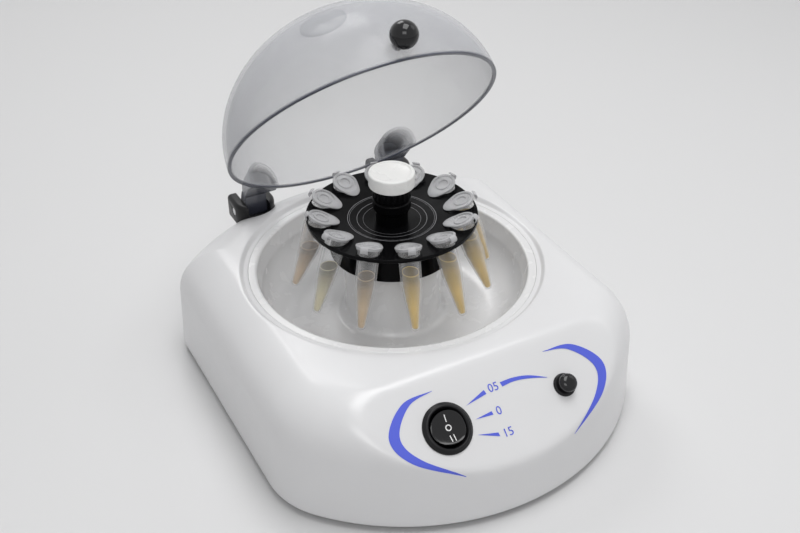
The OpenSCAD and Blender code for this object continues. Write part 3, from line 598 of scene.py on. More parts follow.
switchLow, switchHigh = boxOf("switch_body")
switchX = (switchLow[0] + switchHigh[0]) / 2
bezelR = (switchHigh[0] - switchLow[0]) / 2
buttonLow, buttonHigh = boxOf("button_body")
buttonX = (buttonLow[0] + buttonHigh[0]) / 2
buttonRim = (buttonHigh[0] - buttonLow[0]) / 2
socketLow, socketHigh = boxOf("power_socket")
socketZ = (socketLow[2] + socketHigh[2]) / 2
socketR = (socketHigh[0] - socketLow[0]) / 2

openings = {"reach": 10, "switchLip": 2, "buttonR": 4, "socketLip": 1.5, "socketRoom": 1, "socketSeat": 2.9}
reach = openings["reach"]
cut(shell, moved(drill(bezelR - openings["switchLip"], reach, 64), panelMatrix(switchX)))
cut(shell, moved(drill(openings["buttonR"], reach, 48), panelMatrix(buttonX)))
throat, mouth, seatZ = socketR - openings["socketLip"], socketR + openings["socketRoom"], -openings["socketSeat"]
seat = [(0, -reach), (throat, -reach), (throat, seatZ), (mouth, seatZ), (mouth, reach), (0, reach)]
cut(shell, moved(revolve("seat", seat, 64), shift(0, bodyD / 2, socketZ) @ turn(-90, "X")))
vents = {"eachSide": 4, "pitch": 7, "halfWidth": 1.5, "halfHeight": 6, "corner": 1.4, "reach": 15, "up": 33}
w, h = vents["halfWidth"], vents["halfHeight"]
slotCut = rounded([(0, -h), (-w, -h), (-w, h), (w, h), (w, -h), (0, -h)], vents["corner"], 4)[:-1]
for k in range(-vents["eachSide"], vents["eachSide"] + 1):
    place = shift(k * vents["pitch"], bodyD / 2, vents["up"]) @ turn(90, "X")
    cut(shell, moved(prism("vent", slotCut, -vents["reach"], vents["reach"]), place))
finishPiece(shell, "base", whiteShell, ["housing"], 40)
print("housing made")

shellTree = BVHTree.FromPolygons([v.co.copy() for v in shell.data.vertices],
                                 [face.vertices[:] for face in shell.data.polygons])


# panel print

panelPrint = {
    "lift": 0.16, "thickness": 0.06, "longestEdge": 1.3,
    "crescentOuter": [(-28.6, 18.2), (-45.5, 16.8), (-57.2, 4.2), (-50.6, -9.6), (-27.6, -23.6)],
    "crescentInner": [(-28.6, 18.2), (-42.6, 15.1), (-52.2, 3.2), (-46.6, -8.9), (-27.6, -23.6)],
    "digits": [("05", -1.0, 10.2), ("0", -2.9, -0.6), ("15", -2.7, -11.1)],
    "digitSize": 5.6,
    "wedges": [[(-16.9, 6.6), (-5.9, 10.6), (-5.4, 8.5)], [(-15.2, -0.6), (-6.4, 0.4), (-6.2, -1.4)],
               [(-17.2, -7.4), (-7.4, -9.6), (-7.2, -11.5)]],
    "band": [(3.0, 11.4), (10, 11.4), (18, 9.9), (27.8, 5.6), (18, 8.4), (10, 9.6), (3.4, 9.1)],
}


def smoothThrough(points, steps=14):
    p = [np.array(points[0]) * 2 - points[1]] + [np.array(q, float) for q in points]
    p.append(np.array(points[-1]) * 2 - points[-2])
    out = []
    for i in range(1, len(p) - 2):
        for k in range(steps):
            t = k / steps
            a = 2 * p[i]
            b = p[i + 1] - p[i - 1]
            c = 2 * p[i - 1] - 5 * p[i] + 4 * p[i + 1] - p[i + 2]
            d = -p[i - 1] + 3 * p[i] - 3 * p[i + 1] + p[i + 2]
            out.append(tuple(0.5 * (a + b * t + c * t * t + d * t ** 3)))
    return out + [tuple(points[-1])]


def strip(name, left, right):
    n = len(left)
    verts = [(x, y, z) for z in (0, panelPrint["thickness"]) for side in (left, right) for x, y in side]
    faces = []
    for k in range(n - 1):
        faces.append((k, k + 1, n + k + 1, n + k))
        faces.append((2 * n + k, 3 * n + k, 3 * n + k + 1, 2 * n + k + 1))
        faces.append((k, 2 * n + k, 2 * n + k + 1, k + 1))
        faces.append((n + k, n + k + 1, 3 * n + k + 1, 3 * n + k))
    faces.append((0, n, 3 * n, 2 * n))
    faces.append((n - 1, 3 * n - 1, 4 * n - 1, 2 * n - 1))
    return outward(makeObject(name, verts, faces))


def digitMesh(text):
    curve = bpy.data.curves.new("digits", "FONT")
    curve.body = text
    curve.size = panelPrint["digitSize"] * mm
    curve.align_x = "CENTER"
    curve.align_y = "CENTER"
    halfThick = panelPrint["thickness"] / 2
    curve.extrude = halfThick * mm
    curve.resolution_u = 6
    holder = newPiece("digits", curve)
    mesh = evaluatedMesh(holder)
    bpy.data.objects.remove(holder)
    return outward(moved(newPiece("digits", mesh), shift(0, 0, halfThick)))


# lays a flat print on the housing, cut small enough to follow its curve
def onSurface(piece):
    bm = bmesh.new()
    bm.from_mesh(piece.data)
    bmesh.ops.triangulate(bm, faces=bm.faces)
    for _ in range(6):
        long = [e for e in bm.edges if e.calc_length() > panelPrint["longestEdge"] * mm]
        if not long:
            break
        bmesh.ops.subdivide_edges(bm, edges=long, cuts=1)
        bmesh.ops.triangulate(bm, faces=bm.faces)
    bm.to_mesh(piece.data)
    bm.free()
    place = panelMatrix()
    normal = Vector(panelNormal)
    for vertex in piece.data.vertices:
        height = vertex.co.z
        point = place @ Vector((vertex.co.x, vertex.co.y, 0))
        hit, _, _, _ = shellTree.ray_cast(point + normal * 0.01, -normal)
        vertex.co = (hit if hit else point) + normal * (height + panelPrint["lift"] * mm - 0.05 * mm)
    return piece


prints = []
for side in (1, -1):
    left = [(side * x, y) for x, y in smoothThrough(panelPrint["crescentOuter"])]
    right = [(side * x, y) for x, y in smoothThrough(panelPrint["crescentInner"])]
    prints.append(strip("crescent", left[1:-1], right[1:-1]))
for tip, top, bottom in panelPrint["wedges"]:
    prints.append(prism("wedge", [tip, bottom, top], 0, panelPrint["thickness"]))
band = smoothThrough(panelPrint["band"][:4], 8)
bandLow = smoothThrough(panelPrint["band"][3:], 8)[::-1]
prints.append(strip("band", band[:-1], bandLow[:-1]))
for text, x, y in panelPrint["digits"]:
    prints.append(moved(digitMesh(text), shift(x, y, 0)))
panelGraphics = onSurface(joined("panelGraphics", prints))
finishPiece(panelGraphics, "base", printBlue, sharpAngle=30)
print("panel print made")


# rocker switch and push button

rockerSwitch = {
    "wellRadius": bezelR - 3, "wellDepth": 7, "bezelHeight": 2, "bodyDepth": 12, "back": (8, 6.5, 22),
    "gap": 0.3, "sideGap": 0.15, "axisDrop": 3, "tipAngle": 12,
    "sides": [(1.0, -3.0), (1.0, 0.9), (0.985, 1.25), (0.95, 1.45)],  # share of the radius, height
    "middle": 1.3, "tipRise": 1.5, "tipCurve": 1.6, "crown": 0.25,
    "segments": 72, "topRings": 12,
}


def makeBezel():
    r = rockerSwitch
    well, height, floor, low = r["wellRadius"], r["bezelHeight"], -r["wellDepth"], -r["bodyDepth"]
    profile = [(0, floor), (well, floor), (well, height - 0.9), (well + 0.7, height), (bezelR - 1.6, height),
               (bezelR, 0.6), (bezelR, 0.05), (bezelR - 2.1, 0.05), (bezelR - 2.1, low), (0, low)]
    radii = [0, 0.2, 0.2, 0.5, 0.9, 0.4, 0.02, 0.05, 0.2, 0]
    body = revolve("switchBezel", rounded(profile, radii, 4), 96)
    x, y, depth = r["back"]
    back = bevelled(boxSolid("switchBack", (-x, -y, -depth), (x, y, low + 0.5)), 0.4)
    return joined("switchBezel", [moved(body, panelMatrix(switchX)), moved(back, panelMatrix(switchX))])


finishPiece(makeBezel(), "base", blackMoulding, ["switch_body"])


def makeRocker():
    r = rockerSwitch
    radius, count = r["wellRadius"] - r["gap"], r["segments"]
    topShare, topEdge = r["sides"][-1]
    verts = []

    def topHeight(x, y):  # low in the middle, and up to its two tips
        return r["middle"] + r["tipRise"] * (abs(y) / radius) ** r["tipCurve"] + r["crown"] * (1 - (x / radius) ** 2)

    def ring(reach, z):
        def pointAt(a):
            x, y = reach * math.cos(a), reach * math.sin(a)
            return x, y, z if z < 0 else topHeight(x, y) + (z - topEdge)
        return addRing(verts, count, pointAt)

    rings = [ring(radius * share, z) for share, z in r["sides"]]
    rings += [ring(radius * topShare * (1 - step / r["topRings"]), topEdge) for step in range(1, r["topRings"])]
    verts.append((0, 0, topHeight(0, 0)))
    faces = bridged(rings) + fan(rings[-1], len(verts) - 1) + [rings[0][::-1]]
    room, tip = r["wellRadius"] - r["sideGap"], math.radians(r["tipAngle"])
    for k, (x, y, z) in enumerate(verts):  # barrel sides, so the rocker tips inside its well
        chord = math.sqrt(max(room ** 2 - x ** 2, 0))
        limit = (chord - (z + r["axisDrop"]) * math.sin(tip)) / math.cos(tip)
        verts[k] = (x, max(-limit, min(limit, y)), z)
    piece = outward(makeObject("rockerCap", verts, faces))
    return moved(piece, panelMatrix(switchX)), topHeight


rockerCap, rockerTop = makeRocker()
finishPiece(rockerCap, "rocker_body", blackGloss, ["rocker"], 45)


rockerPrint = {
    "bars": [(0, 0.24, 2.7, 6.1), (-0.9, 0.22, -6.6, -3.4), (0.9, 0.22, -6.6, -3.4)],  # x, half width, y from and to
    "ring": (1.0, 1.5), "thickness": 0.05, "longestEdge": 1.2,
}


def makeRockerMarks():
    thick, (ringIn, ringOut) = rockerPrint["thickness"], rockerPrint["ring"]
    marks = [boxSolid("mark", (x - half, low, 0), (x + half, high, thick))
             for x, half, low, high in rockerPrint["bars"]]
    ring = revolve("mark", [(ringIn, 0), (ringOut, 0), (ringOut, thick), (ringIn, thick)], 40, True)
    piece = joined("rockerMarks", marks + [ring])
    bm = bmesh.new()
    bm.from_mesh(piece.data)
    long = [e for e in bm.edges if e.calc_length() > rockerPrint["longestEdge"] * mm]
    bmesh.ops.subdivide_edges(bm, edges=long, cuts=5, use_grid_fill=True)
    for v in bm.verts:
        v.co.z += rockerTop(v.co.x / mm, v.co.y / mm) * mm + 0.01 * mm
    bm.to_mesh(piece.data)
    bm.free()
    return moved(piece, panelMatrix(switchX))


finishPiece(makeRockerMarks(), "rocker_body", printWhite)


pushButton = {"capLow": 3.5, "capWall": 0.9, "domeRise": 2.4, "stemR": 2, "stemLow": -6,
              "boreR": 2.05, "bushR": 3.9, "bushLow": -8, "collarHigh": 1.2}


def makeButton():
    capLow, capHigh = boxOf("button_cap")
    radius = (capHigh[0] - capLow[0]) / 2
    low = pushButton["capLow"]
    domeFoot, rise = low + pushButton["capWall"], pushButton["domeRise"]
    dome = [(0, low), (radius - 0.3, low), (radius, low + 0.3)]
    for a in range(0, 90, 9):
        c, s = polar(a)
        dome.append((radius * c ** 0.8, domeFoot + rise * s))
    dome.append((0, domeFoot + rise))
    cap = revolve("buttonCap", dome, 64)
    stemR, stemLow, stemTop = pushButton["stemR"], pushButton["stemLow"], low + 0.4
    stem = revolve("stem", [(0, stemLow), (stemR, stemLow), (stemR, stemTop), (0, stemTop)], 32)
    return moved(joined("buttonCap", [cap, stem]), panelMatrix(buttonX))


def makeCollar():
    bore, bush, low, high = (pushButton[key] for key in ("boreR", "bushR", "bushLow", "collarHigh"))
    profile = [(bore, low), (bore, high), (buttonRim - 0.7, high), (buttonRim, 0.5), (buttonRim, 0.05),
               (bush, 0.05), (bush, low)]
    outline = rounded(profile, [0, 0.2, 0.4, 0.3, 0.02, 0.02, 0], 4)
    return moved(revolve("buttonCollar", outline, 64, True), panelMatrix(buttonX))


finishPiece(makeButton(), "button_body_moving", blackGloss, ["button_cap"], 40)
finishPiece(makeCollar(), "base", blackMoulding, ["button_body"])
print("switch and button made")


# bowl

bowl = {"wall": housing["bowlWall"], "depth": 29, "fillet": 20, "draft": 2, "lip": 1.4, "edge": 0.12,
        "towerR": 25, "towerRise": 5, "towerFoot": 12, "towerWall": 2.4, "shaftR": 6.2}


def makeBowl():
    b = bowl
    floor = recessLow - b["depth"]
    towerTop = bowlHigh[2]
    towerR, shaftR = b["towerR"], b["shaftR"]
    inner = [(bowlFlange, recessLow - b["edge"]), (bowlFlange - b["edge"], recessLow)]
    inner.append((bowlMouth + b["lip"] + 0.2, recessLow))
    inner += arcPoints((bowlMouth + b["lip"], recessLow - b["lip"]), b["lip"], 90, 180, 6)
    centre = (bowlMouth - b["draft"] - b["fillet"], floor + b["fillet"])
    wallDrop = centre[1] - recessLow + b["lip"]
    inner += [(bowlMouth - b["draft"] * k / 8, recessLow - b["lip"] + wallDrop * k / 8) for k in range(1, 8)]
    inner += arcPoints(centre, b["fillet"], 0, -90, 24)
    inner += arcPoints((towerR + b["towerRise"], floor + b["towerRise"]), b["towerRise"], 270, 180, 8)
    inner += rounded([(towerR, floor + b["towerFoot"]), (towerR, towerTop), (shaftR, towerTop)], 1.2, 4)[1:]
    inner += [(shaftR, towerTop - b["towerWall"]), (towerR - b["towerWall"], towerTop - b["towerWall"]),
              (towerR - b["towerWall"], floor - b["wall"])]
    inner += arcPoints(centre, b["fillet"] + b["wall"], -90, 0, 16)
    inner += [(bowlMouth + b["wall"], ledgeZ), (bowlFlange, ledgeZ)]
    return atRotor(revolve("bowlLiner", inner, 192, True))


finishPiece(makeBowl(), "base", bowlWhite, ["bowl"], 40)
print("bowl made")


# rotor

rotorLow, rotorHigh = boxOf("rotor")
discR = (rotorHigh[0] - rotorLow[0]) / 2
discZ = rotorHigh[2]
rotor = {"discThick": 2.1, "dishDrop": 4.7, "hubR": 8.9, "boreR": 4.5,
         "skirtTop": 28.8, "skirtLow": 32, "skirtThick": 2, "holeR": 5.5, "seatR": 6.6,
         "rings": [(22.4, 0.14), (21.5, 0.07), (17.7, 0.12), (14.6, 0.07)],  # radius, half width; pale lines that are painted reflections of the disc's engraved grooves
         "glintThick": 0.04}
tubes = {"count": 12, "tilt": 22, "circle": 36.3, "up": 2.2,
         "length": 41, "radius": 5.4, "wall": 1, "capR": 6.4, "tipR": 2.2,
         "fill": [0.55, 0.72, 0.74, 0.7, 0.7, 0.6, 0.62, 0.66, 0.72, 0.76, 0.78, 0.8]}
dishSlope = rotor["dishDrop"] / (discR - rotor["hubR"])


def discAt(radius):
    return discZ - dishSlope * (discR - radius)


def makeRotor():
    r = rotor
    t = r["discThick"]
    profile = [(r["boreR"], discAt(r["hubR"]) - t), (r["skirtTop"] - r["skirtThick"] - 1, discAt(r["skirtTop"]) - t),
               (r["skirtLow"] - r["skirtThick"], rotorLow[2]), (r["skirtLow"], rotorLow[2]),
               (r["skirtTop"], discAt(r["skirtTop"]) - t), (discR, discZ - t), (discR, discZ)]
    radii = [0, 1.5, 0.4, 0.4, 0.6, 0.5, 0.35]
    outline = rounded(profile + [(24, discAt(24))], radii + [0], 4)[:-1]
    outline += [(r["hubR"] + 1.2, discAt(r["hubR"] + 1.2)), (r["hubR"] - 1, discAt(r["hubR"])),
                (r["boreR"], discAt(r["hubR"]))]
    piece = revolve("rotorDisc", outline, 192, True)
    seat = [(0, -12), (r["holeR"], -12), (r["holeR"], -1), (r["seatR"], -1), (r["seatR"], 8), (0, 8)]
    for k in range(tubes["count"]):
        cut(piece, moved(revolve("seat", seat, 48), tubeMatrix(k, False)))
    return atRotor(piece)


def tubeMatrix(index, placed=True):
    step = 360 / tubes["count"]
    place = turn(step * (index + 0.5), "Z") @ shift(tubes["circle"], 0, discAt(tubes["circle"]) + tubes["up"])
    place = place @ turn(-tubes["tilt"], "Y")
    return shift(0, rotorY, 0) @ place if placed else place


finishPiece(makeRotor(), "rotor_body", rotorBlack, ["rotor"], 28)


# pale lines on the disc: painted reflections standing in for the light along its engraved grooves
def makeGrooveGlints():
    lines = []
    for radius, half in rotor["rings"]:
        low = [(r, discAt(r)) for r in (radius - half, radius + half)]
        high = [(r, z + rotor["glintThick"]) for r, z in low[::-1]]
        lines.append(atRotor(revolve("line", low + high, 160, True)))
    return joined("rotorLines", lines)


# the lines' pale grey is painted reflection
grooveGlintGrey = moulded("grooveGlintGrey", (0.22, 0.22, 0.23), 0.4, grain=0.4, grainHeight=0.004, vary=0.2)
finishPiece(makeGrooveGlints(), "rotor_body", grooveGlintGrey)

post = {"steps": [(0.30, 1.6), (0.36, 0.6), (0.42, 0), (0.60, 0), (0.62, 0.6), (0.68, 0.6), (0.70, 0)]}


def makePost():
    low, high = boxOf("vortex_post")
    radius, height = (high[0] - low[0]) / 2, high[2] - low[2]
    profile = [(0, low[2]), (radius - 1.6, low[2])]
    profile += [(radius - inset, low[2] + part * height) for part, inset in post["steps"]]
    profile += [(radius, high[2]), (0, high[2])]
    return atRotor(revolve("vortexPost", rounded(profile, [0, 0.3] + [0.25] * 7 + [0.5, 0], 4), 128))


finishPiece(makePost(), "rotor_body", rotorBlack, ["vortex_post"], 28)


cup = {"rim": 1.7, "hollow": 1.2, "footEdge": 0.5, "rimEdge": 1.0}


def makeCup():
    radius, low, high = (cupHigh[0] - cupLow[0]) / 2, cupLow[2], cupHigh[2]
    profile = [(0, low), (radius, low), (radius, high), (radius - cup["rim"] + 0.1, high)]
    out = rounded(profile, [0, cup["footEdge"], cup["rimEdge"], 0], 6)[:-1]
    inside, hollow = radius - cup["rim"], cup["hollow"]
    for a in range(0, 90, 6):
        c, s = polar(a)
        out.append((inside * c, high - hollow * s))
    out.append((0, high - hollow))
    return atRotor(revolve("vortexCup", out, 160))


finishPiece(makeCup(), "rotor_body", cupWhite, ["vortex_cup"], 50)
print("rotor made")


# tubes


def tubeOutline(inward):
    r, tip, length = tubes["radius"], tubes["tipR"], tubes["length"]
    points = [(0, -length + inward)]
    for a in (15, 30, 45, 60, 75, 90):
        c, s = polar(a)
        points.append(((tip - inward / 2) * s, -length + tip - (tip - inward) * c))
    points += [(r - inward - 0.2, -18), (r - inward, -1)]
    return points


def tubeBodyMesh():
    collar = [(tubes["capR"] - 0.2, -1), (tubes["capR"] - 0.2, 0), (tubes["radius"] - 0.9, 0)]
    inner = tubeOutline(tubes["wall"])[::-1]
    return revolve("tubeBody", rounded(tubeOutline(0) + collar, [0] * 8 + [0.2, 0.3, 0.3, 0], 3) + inner, 40)


capShape = {
    "rim": [(-0.8, -0.5, 0, 0), (-0.15, -0.35, 0, 1), (0, 0.35, 0, 1), (0.1, 0.42, 3.1, 0), (0.25, 0.6, 3.3, 0),
            (0.25, 0.95, 3.3, 0), (0.05, 1.2, 3.1, 0), (-0.5, 1.25, 1.6, 1.5), (-0.9, 1.2, 0.6, 1.5),
            (-1.2, 0.5, 0, 1.5)],  # reach past the radius, height, thumb tab, ribs
    "dimple": [(0.64, 0.45), (0.6, 1.1), (0.5, 1.15), (0.42, 1.1), (0.36, 0.4), (0.15, 0.32)],  # share, height
    "ribs": 24, "ribHeight": 0.09, "segments": 96,
    "strapOut": 1.9, "strapIn": 1.3, "strapHalf": 1.9,
}


def capMesh():
    radius, count = tubes["capR"], capShape["segments"]
    verts = []

    def ring(reach, z, tab=0, ribs=0):
        def pointAt(a):
            ripple = capShape["ribHeight"] * ribs * math.cos(capShape["ribs"] * a)
            rr = reach + tab * max(0, math.cos(a - math.pi)) ** 5 + ripple
            return rr * math.cos(a), rr * math.sin(a), z
        return addRing(verts, count, pointAt)

    rings = [ring(radius + reach, z, tab, ribs) for reach, z, tab, ribs in capShape["rim"]]
    rings += [ring(radius * part, z) for part, z in capShape["dimple"]]
    verts += [(0, 0, 0.3), (0, 0, -0.5)]
    faces = bridged(rings) + fan(rings[-1], len(verts) - 2)
    faces += [(b, a, c) for a, b, c in fan(rings[0], len(verts) - 1)]
    disc = outward(makeObject("cap", verts, faces))
    hub, half = (radius + 0.1, 0), capShape["strapHalf"]
    bend = arcPoints(hub, capShape["strapOut"], 82, -75, 12) + arcPoints(hub, capShape["strapIn"], -70, 78, 12)
    strap = outward(moved(prism("strap", bend, -half, half), turn(90, "X")))
    return joined("cap", [disc, bevelled(strap, 0.15, 2)])


# the fill of one tube, its surface level although the tube leans
def liquidMesh(index):
    level = -tubes["length"] * (1 - tubes["fill"][index])
    tilt = math.tan(math.radians(tubes["tilt"]))
    tip, *wall = [(max(r - 0.12, 0), z) for r, z in tubeOutline(tubes["wall"])]
    count, below = 32, level - 3

    def radiusAtHeight(z):
        return float(np.interp(z, [height for _, height in wall], [r for r, _ in wall]))

    stations = [(r, z) for r, z in wall if z < below]
    for part in (0.2, 0.4, 0.6, 0.8):
        z = stations[-1][1] + (below - stations[-1][1]) * part
        stations.append((radiusAtHeight(z), z))
    verts = [(0, 0, tip[1])]
    rings = [addRing(verts, count, circle(r, z)) for r, z in stations]
    radius = radiusAtHeight(level)

    def surfaceRing(reach, rise):
        def pointAt(a):
            x, y = reach * math.cos(a), reach * math.sin(a)
            return x, y, level + rise - x * tilt
        return addRing(verts, count, pointAt)

    meniscus = [(1, -0.35), (1, 0.35), (0.86, 0.05), (0.6, 0), (0.3, 0)]
    rings += [surfaceRing(radius * part, rise) for part, rise in meniscus]
    verts.append((0, 0, level))
    faces = [(0, b, a) for a, b, _ in fan(rings[0], 0)] + bridged(rings) + fan(rings[-1], len(verts) - 1)
    piece = outward(makeObject("liquid", verts, faces))
    # a share for each vertex that the liquids' finish turns into painted light: the height in the fill, darkened below
    # the surface as painted shade
    depth = []
    for v in piece.data.vertices:
        x, y, z = v.co / mm
        share = (z + x * tilt + tubes["length"]) / (level + tubes["length"])
        reach = math.hypot(x, y) / radius
        if share > 1.005 or (reach < 0.9 and share > 0.99):  # the surface: a painted highlight along its edge and painted shade over its middle
            depth.append(1 if reach > 0.95 else 0.95)
        else:
            depth.append(min(share, 0.94))
    mark(piece, "paintedLightShare", depth)
    mark(piece, "tubeShare", [(index + 0.5) / tubes["count"]] * len(depth))
    return piece


def ringOfTubes(name, source, finish, inputs):
    tree = bpy.data.node_groups.new(name, "GeometryNodeTree")
    face = tree.interface
    ids = {}
    for label, kind, default in (("Count", "NodeSocketInt", 12), ("Circle Radius", "NodeSocketFloat", 0.03),
                                 ("Mouth Height", "NodeSocketFloat", 0.09), ("Tilt", "NodeSocketFloat", 0.3),
                                 ("Part", "NodeSocketObject", None), ("Finish", "NodeSocketMaterial", None)):
        socket = face.new_socket(name=label, in_out="INPUT", socket_type=kind)
        if default is not None:
            socket.default_value = default
        ids[label] = socket.identifier
    face.new_socket(name="Geometry", in_out="OUTPUT", socket_type="NodeSocketGeometry")
    given = tree.nodes.new("NodeGroupInput").outputs
    out = tree.nodes.new("NodeGroupOutput")

    def add(kind, **settings):
        node = tree.nodes.new(kind)
        for key, value in settings.items():
            setattr(node, key, value)
        return node

    def feed(node, **sources):
        for socket, source in sources.items():
            tree.links.new(source, node.inputs[socketName(socket)])
        return node.outputs[0]

    def sums(operation, first, second):
        node = add("ShaderNodeMath", operation=operation)
        tree.links.new(first, node.inputs[0])
        if isinstance(second, (int, float)):
            node.inputs[1].default_value = second
        else:
            tree.links.new(second, node.inputs[1])
        return node.outputs[0]

    index = add("GeometryNodeInputIndex").outputs[0]
    share = sums("DIVIDE", sums("ADD", index, 0.5), given["Count"])
    spin = feed(add("ShaderNodeCombineXYZ"), z=sums("MULTIPLY", share, 2 * math.pi))
    lean = feed(add("ShaderNodeCombineXYZ"), y=sums("MULTIPLY", given["Tilt"], -1))
    arm = feed(add("ShaderNodeCombineXYZ"), x=given["Circle Radius"], z=given["Mouth Height"])
    points = feed(add("GeometryNodePoints"), count=given["Count"], position=arm)
    partInfo = add("GeometryNodeObjectInfo")
    feed(partInfo, object=given["Part"])
    part = partInfo.outputs["Geometry"]
    copies = feed(add("GeometryNodeInstanceOnPoints"), points=points, instance=part, rotation=lean)
    spinAll = add("GeometryNodeRotateInstances")
    spinAll.inputs["Local Space"].default_value = False
    store = add("GeometryNodeStoreNamedAttribute", domain="INSTANCE", data_type="FLOAT")
    store.inputs["Name"].default_value = "tubeShare"
    stored = feed(store, geometry=feed(spinAll, instances=copies, rotation=spin), value=share)
    real = feed(add("GeometryNodeRealizeInstances"), geometry=stored)
    paint = feed(add("GeometryNodeSetMaterial"), geometry=real, material=given["Finish"])
    tree.links.new(paint, out.inputs[0])

    holder = makeObject(name, [(0, 0, 0)], [])
    modifier = holder.modifiers.new("ring", "NODES")
    modifier.node_group = tree
    for label, value in inputs.items():
        modifier[ids[label]] = value
    modifier[ids["Part"]] = source
    modifier[ids["Finish"]] = finish.material
    mesh = evaluatedMesh(holder)
    bpy.data.objects.remove(holder)
    bpy.data.objects.remove(source)
    return atRotor(newPiece(name, mesh))


ringInputs = {"Count": tubes["count"], "Circle Radius": tubes["circle"] * mm,
              "Mouth Height": (discAt(tubes["circle"]) + tubes["up"]) * mm, "Tilt": math.radians(tubes["tilt"])}
tubeNodes = ["tube_%02d" % (k + 1) for k in range(tubes["count"])]
tubeBodies = ringOfTubes("tubeBodies", tubeBodyMesh(), tubeClear, ringInputs)
finishPiece(tubeBodies, "rotor_body", tubeClear, tubeNodes, 40)
capFinish = clearPlastic("capMilky", (0.6, 0.6, 0.615), 0.5, 0.96, 0.1)
capFinish.bump(capFinish.noise(1.1, 3), 0.5)
tubeCaps = ringOfTubes("tubeCaps", capMesh(), capFinish, ringInputs)
finishPiece(tubeCaps, "rotor_body", capFinish, sharpAngle=50)


amber, brown, olive, rose = (1.0, 0.72, 0.17), (0.86, 0.66, 0.42), (0.95, 0.89, 0.64), (0.96, 0.76, 0.56)
# the depth ramp paints shade onto the liquids, darkest in a band just below the surface, with full colour at the
# meniscus edge as a painted highlight
liquidLook = {"colours": [amber, amber, olive, rose, rose, rose, olive, brown, amber, amber, amber, amber],
              "depth": [(0.0, 1.0), (0.45, 0.95), (0.82, 0.5), (0.955, 0.24), (1.0, 1.0)]}


def liquidFinish():
    finish = Finish("liquids", (0.7, 0.5, 0.2), 0.12)
    colours = [(k / tubes["count"], colour) for k, colour in enumerate(liquidLook["colours"])]
    paintedLightStops = [(place, (tone, tone * 0.98, tone * 0.92)) for place, tone in liquidLook["depth"]]
    colour = finish.ramp(finish.attribute("tubeShare"), colours, "CONSTANT")
    # painted shade and highlight, read from each vertex's share
    depth = finish.ramp(finish.attribute("paintedLightShare"), paintedLightStops)
    clouds = finish.ramp(finish.noise(7, 3, (1, 1, 0.3)), [(0, (0.88, 0.88, 0.88)), (1, (1, 1, 1))])
    for layer in (depth, clouds):
        colour = finish.mixed("RGBA", 1, colour, layer, blend_type="MULTIPLY")
    finish.link(colour, finish.shader.inputs["Base Color"])
    weight = finish.node("ShaderNodeLayerWeight", blend=0.4)
    finish.link(finish.spread(weight.outputs["Facing"], 0.82, 0.96), finish.shader.inputs["Alpha"])
    return finish


liquids = liquidFinish()
parts = [moved(liquidMesh(k), tubeMatrix(k)) for k in range(tubes["count"])]
liquid = joined("tubeLiquids", parts)
finishPiece(liquid, "rotor_body", liquids, sharpAngle=50)
print("tubes made")


# hinge blocks


hingeBlock = {"edge": 2.2, "slotHalf": 6.3, "floor": 2.5, "pinR": 2, "innerEdge": 0.4}


def pinBore(x, radius):
    return moved(drill(radius, 20, 32), shift(x, hingeY, hingeZ) @ turn(90, "Y"))


def makeBlock(node, name):
    low, high = boxOf(node)
    piece = bevelled(prism(name, blockPlan(low, high, 0), low[2], high[2]), hingeBlock["edge"], 5)
    x, half = (low[0] + high[0]) / 2, hingeBlock["slotHalf"]
    slotLow, slotHigh = (x - half, low[1] - 5, low[2] + hingeBlock["floor"]), (x + half, high[1] + 5, high[2] + 5)
    cut(piece, boxSolid("slot", slotLow, slotHigh))
    cut(piece, pinBore(x, hingeBlock["pinR"]))
    return bevelled(piece, hingeBlock["innerEdge"], 2)


for node, name in (("hinge_block_left", "hingeBlockLeft"), ("hinge_block_right", "hingeBlockRight")):
    finishPiece(makeBlock(node, name), "base", blackMoulding, [node])
print("hinge blocks made")


# lid, drawn closed about the rotor's axis and then opened

lid = {"radius": 72, "height": 60, "wall": 2, "open": 49.6, "rimBand": 2.6,
       "lugX": 40.6, "lugW": 18.6, "lugH": 15, "lugWall": 2.2, "lugFront": 22, "lugRear": 0.6,
       "knuckleX": 43, "knuckleW": 12, "knuckleR": 5, "boreR": 2.05,
       "rimLine": 1.45, "rimFade": 0.6, "lugShade": 0.85,  # painted shade: the dark line along the rim, where the clear wall is seen edge on, and the lugs painted darker
       "steps": 56}
rimZ = recessLow + 0.3
lidOpen = shift(0, hingeY, hingeZ) @ turn(-lid["open"], "X") @ shift(0, -hingeY, -hingeZ)
blockLow, _ = boxOf("hinge_block_left")


def domeProfile(radius, height, below=0):
    points = [(radius, rimZ - below)] if below else []
    angles = [0, math.asin(1.1 / height)]  # one more ring just above the rim, for the rim's painted dark line
    angles += [math.pi / 2 * k / lid["steps"] for k in range(1, lid["steps"] + 1)]
    return points + [(radius * math.cos(a), rimZ + height * math.sin(a)) for a in angles]


def domeShell():
    outer = domeProfile(lid["radius"], lid["height"])
    inner = domeProfile(lid["radius"] - lid["wall"], lid["height"] - lid["wall"])
    outer[-1], inner[-1] = (0, outer[-1][1]), (0, inner[-1][1])
    rim = rounded([outer[1], outer[0], inner[0], inner[1]], 0.4, 3)
    profile = outer[:1:-1] + rim + inner[2:]
    return atRotor(revolve("lidDome", profile, 192))


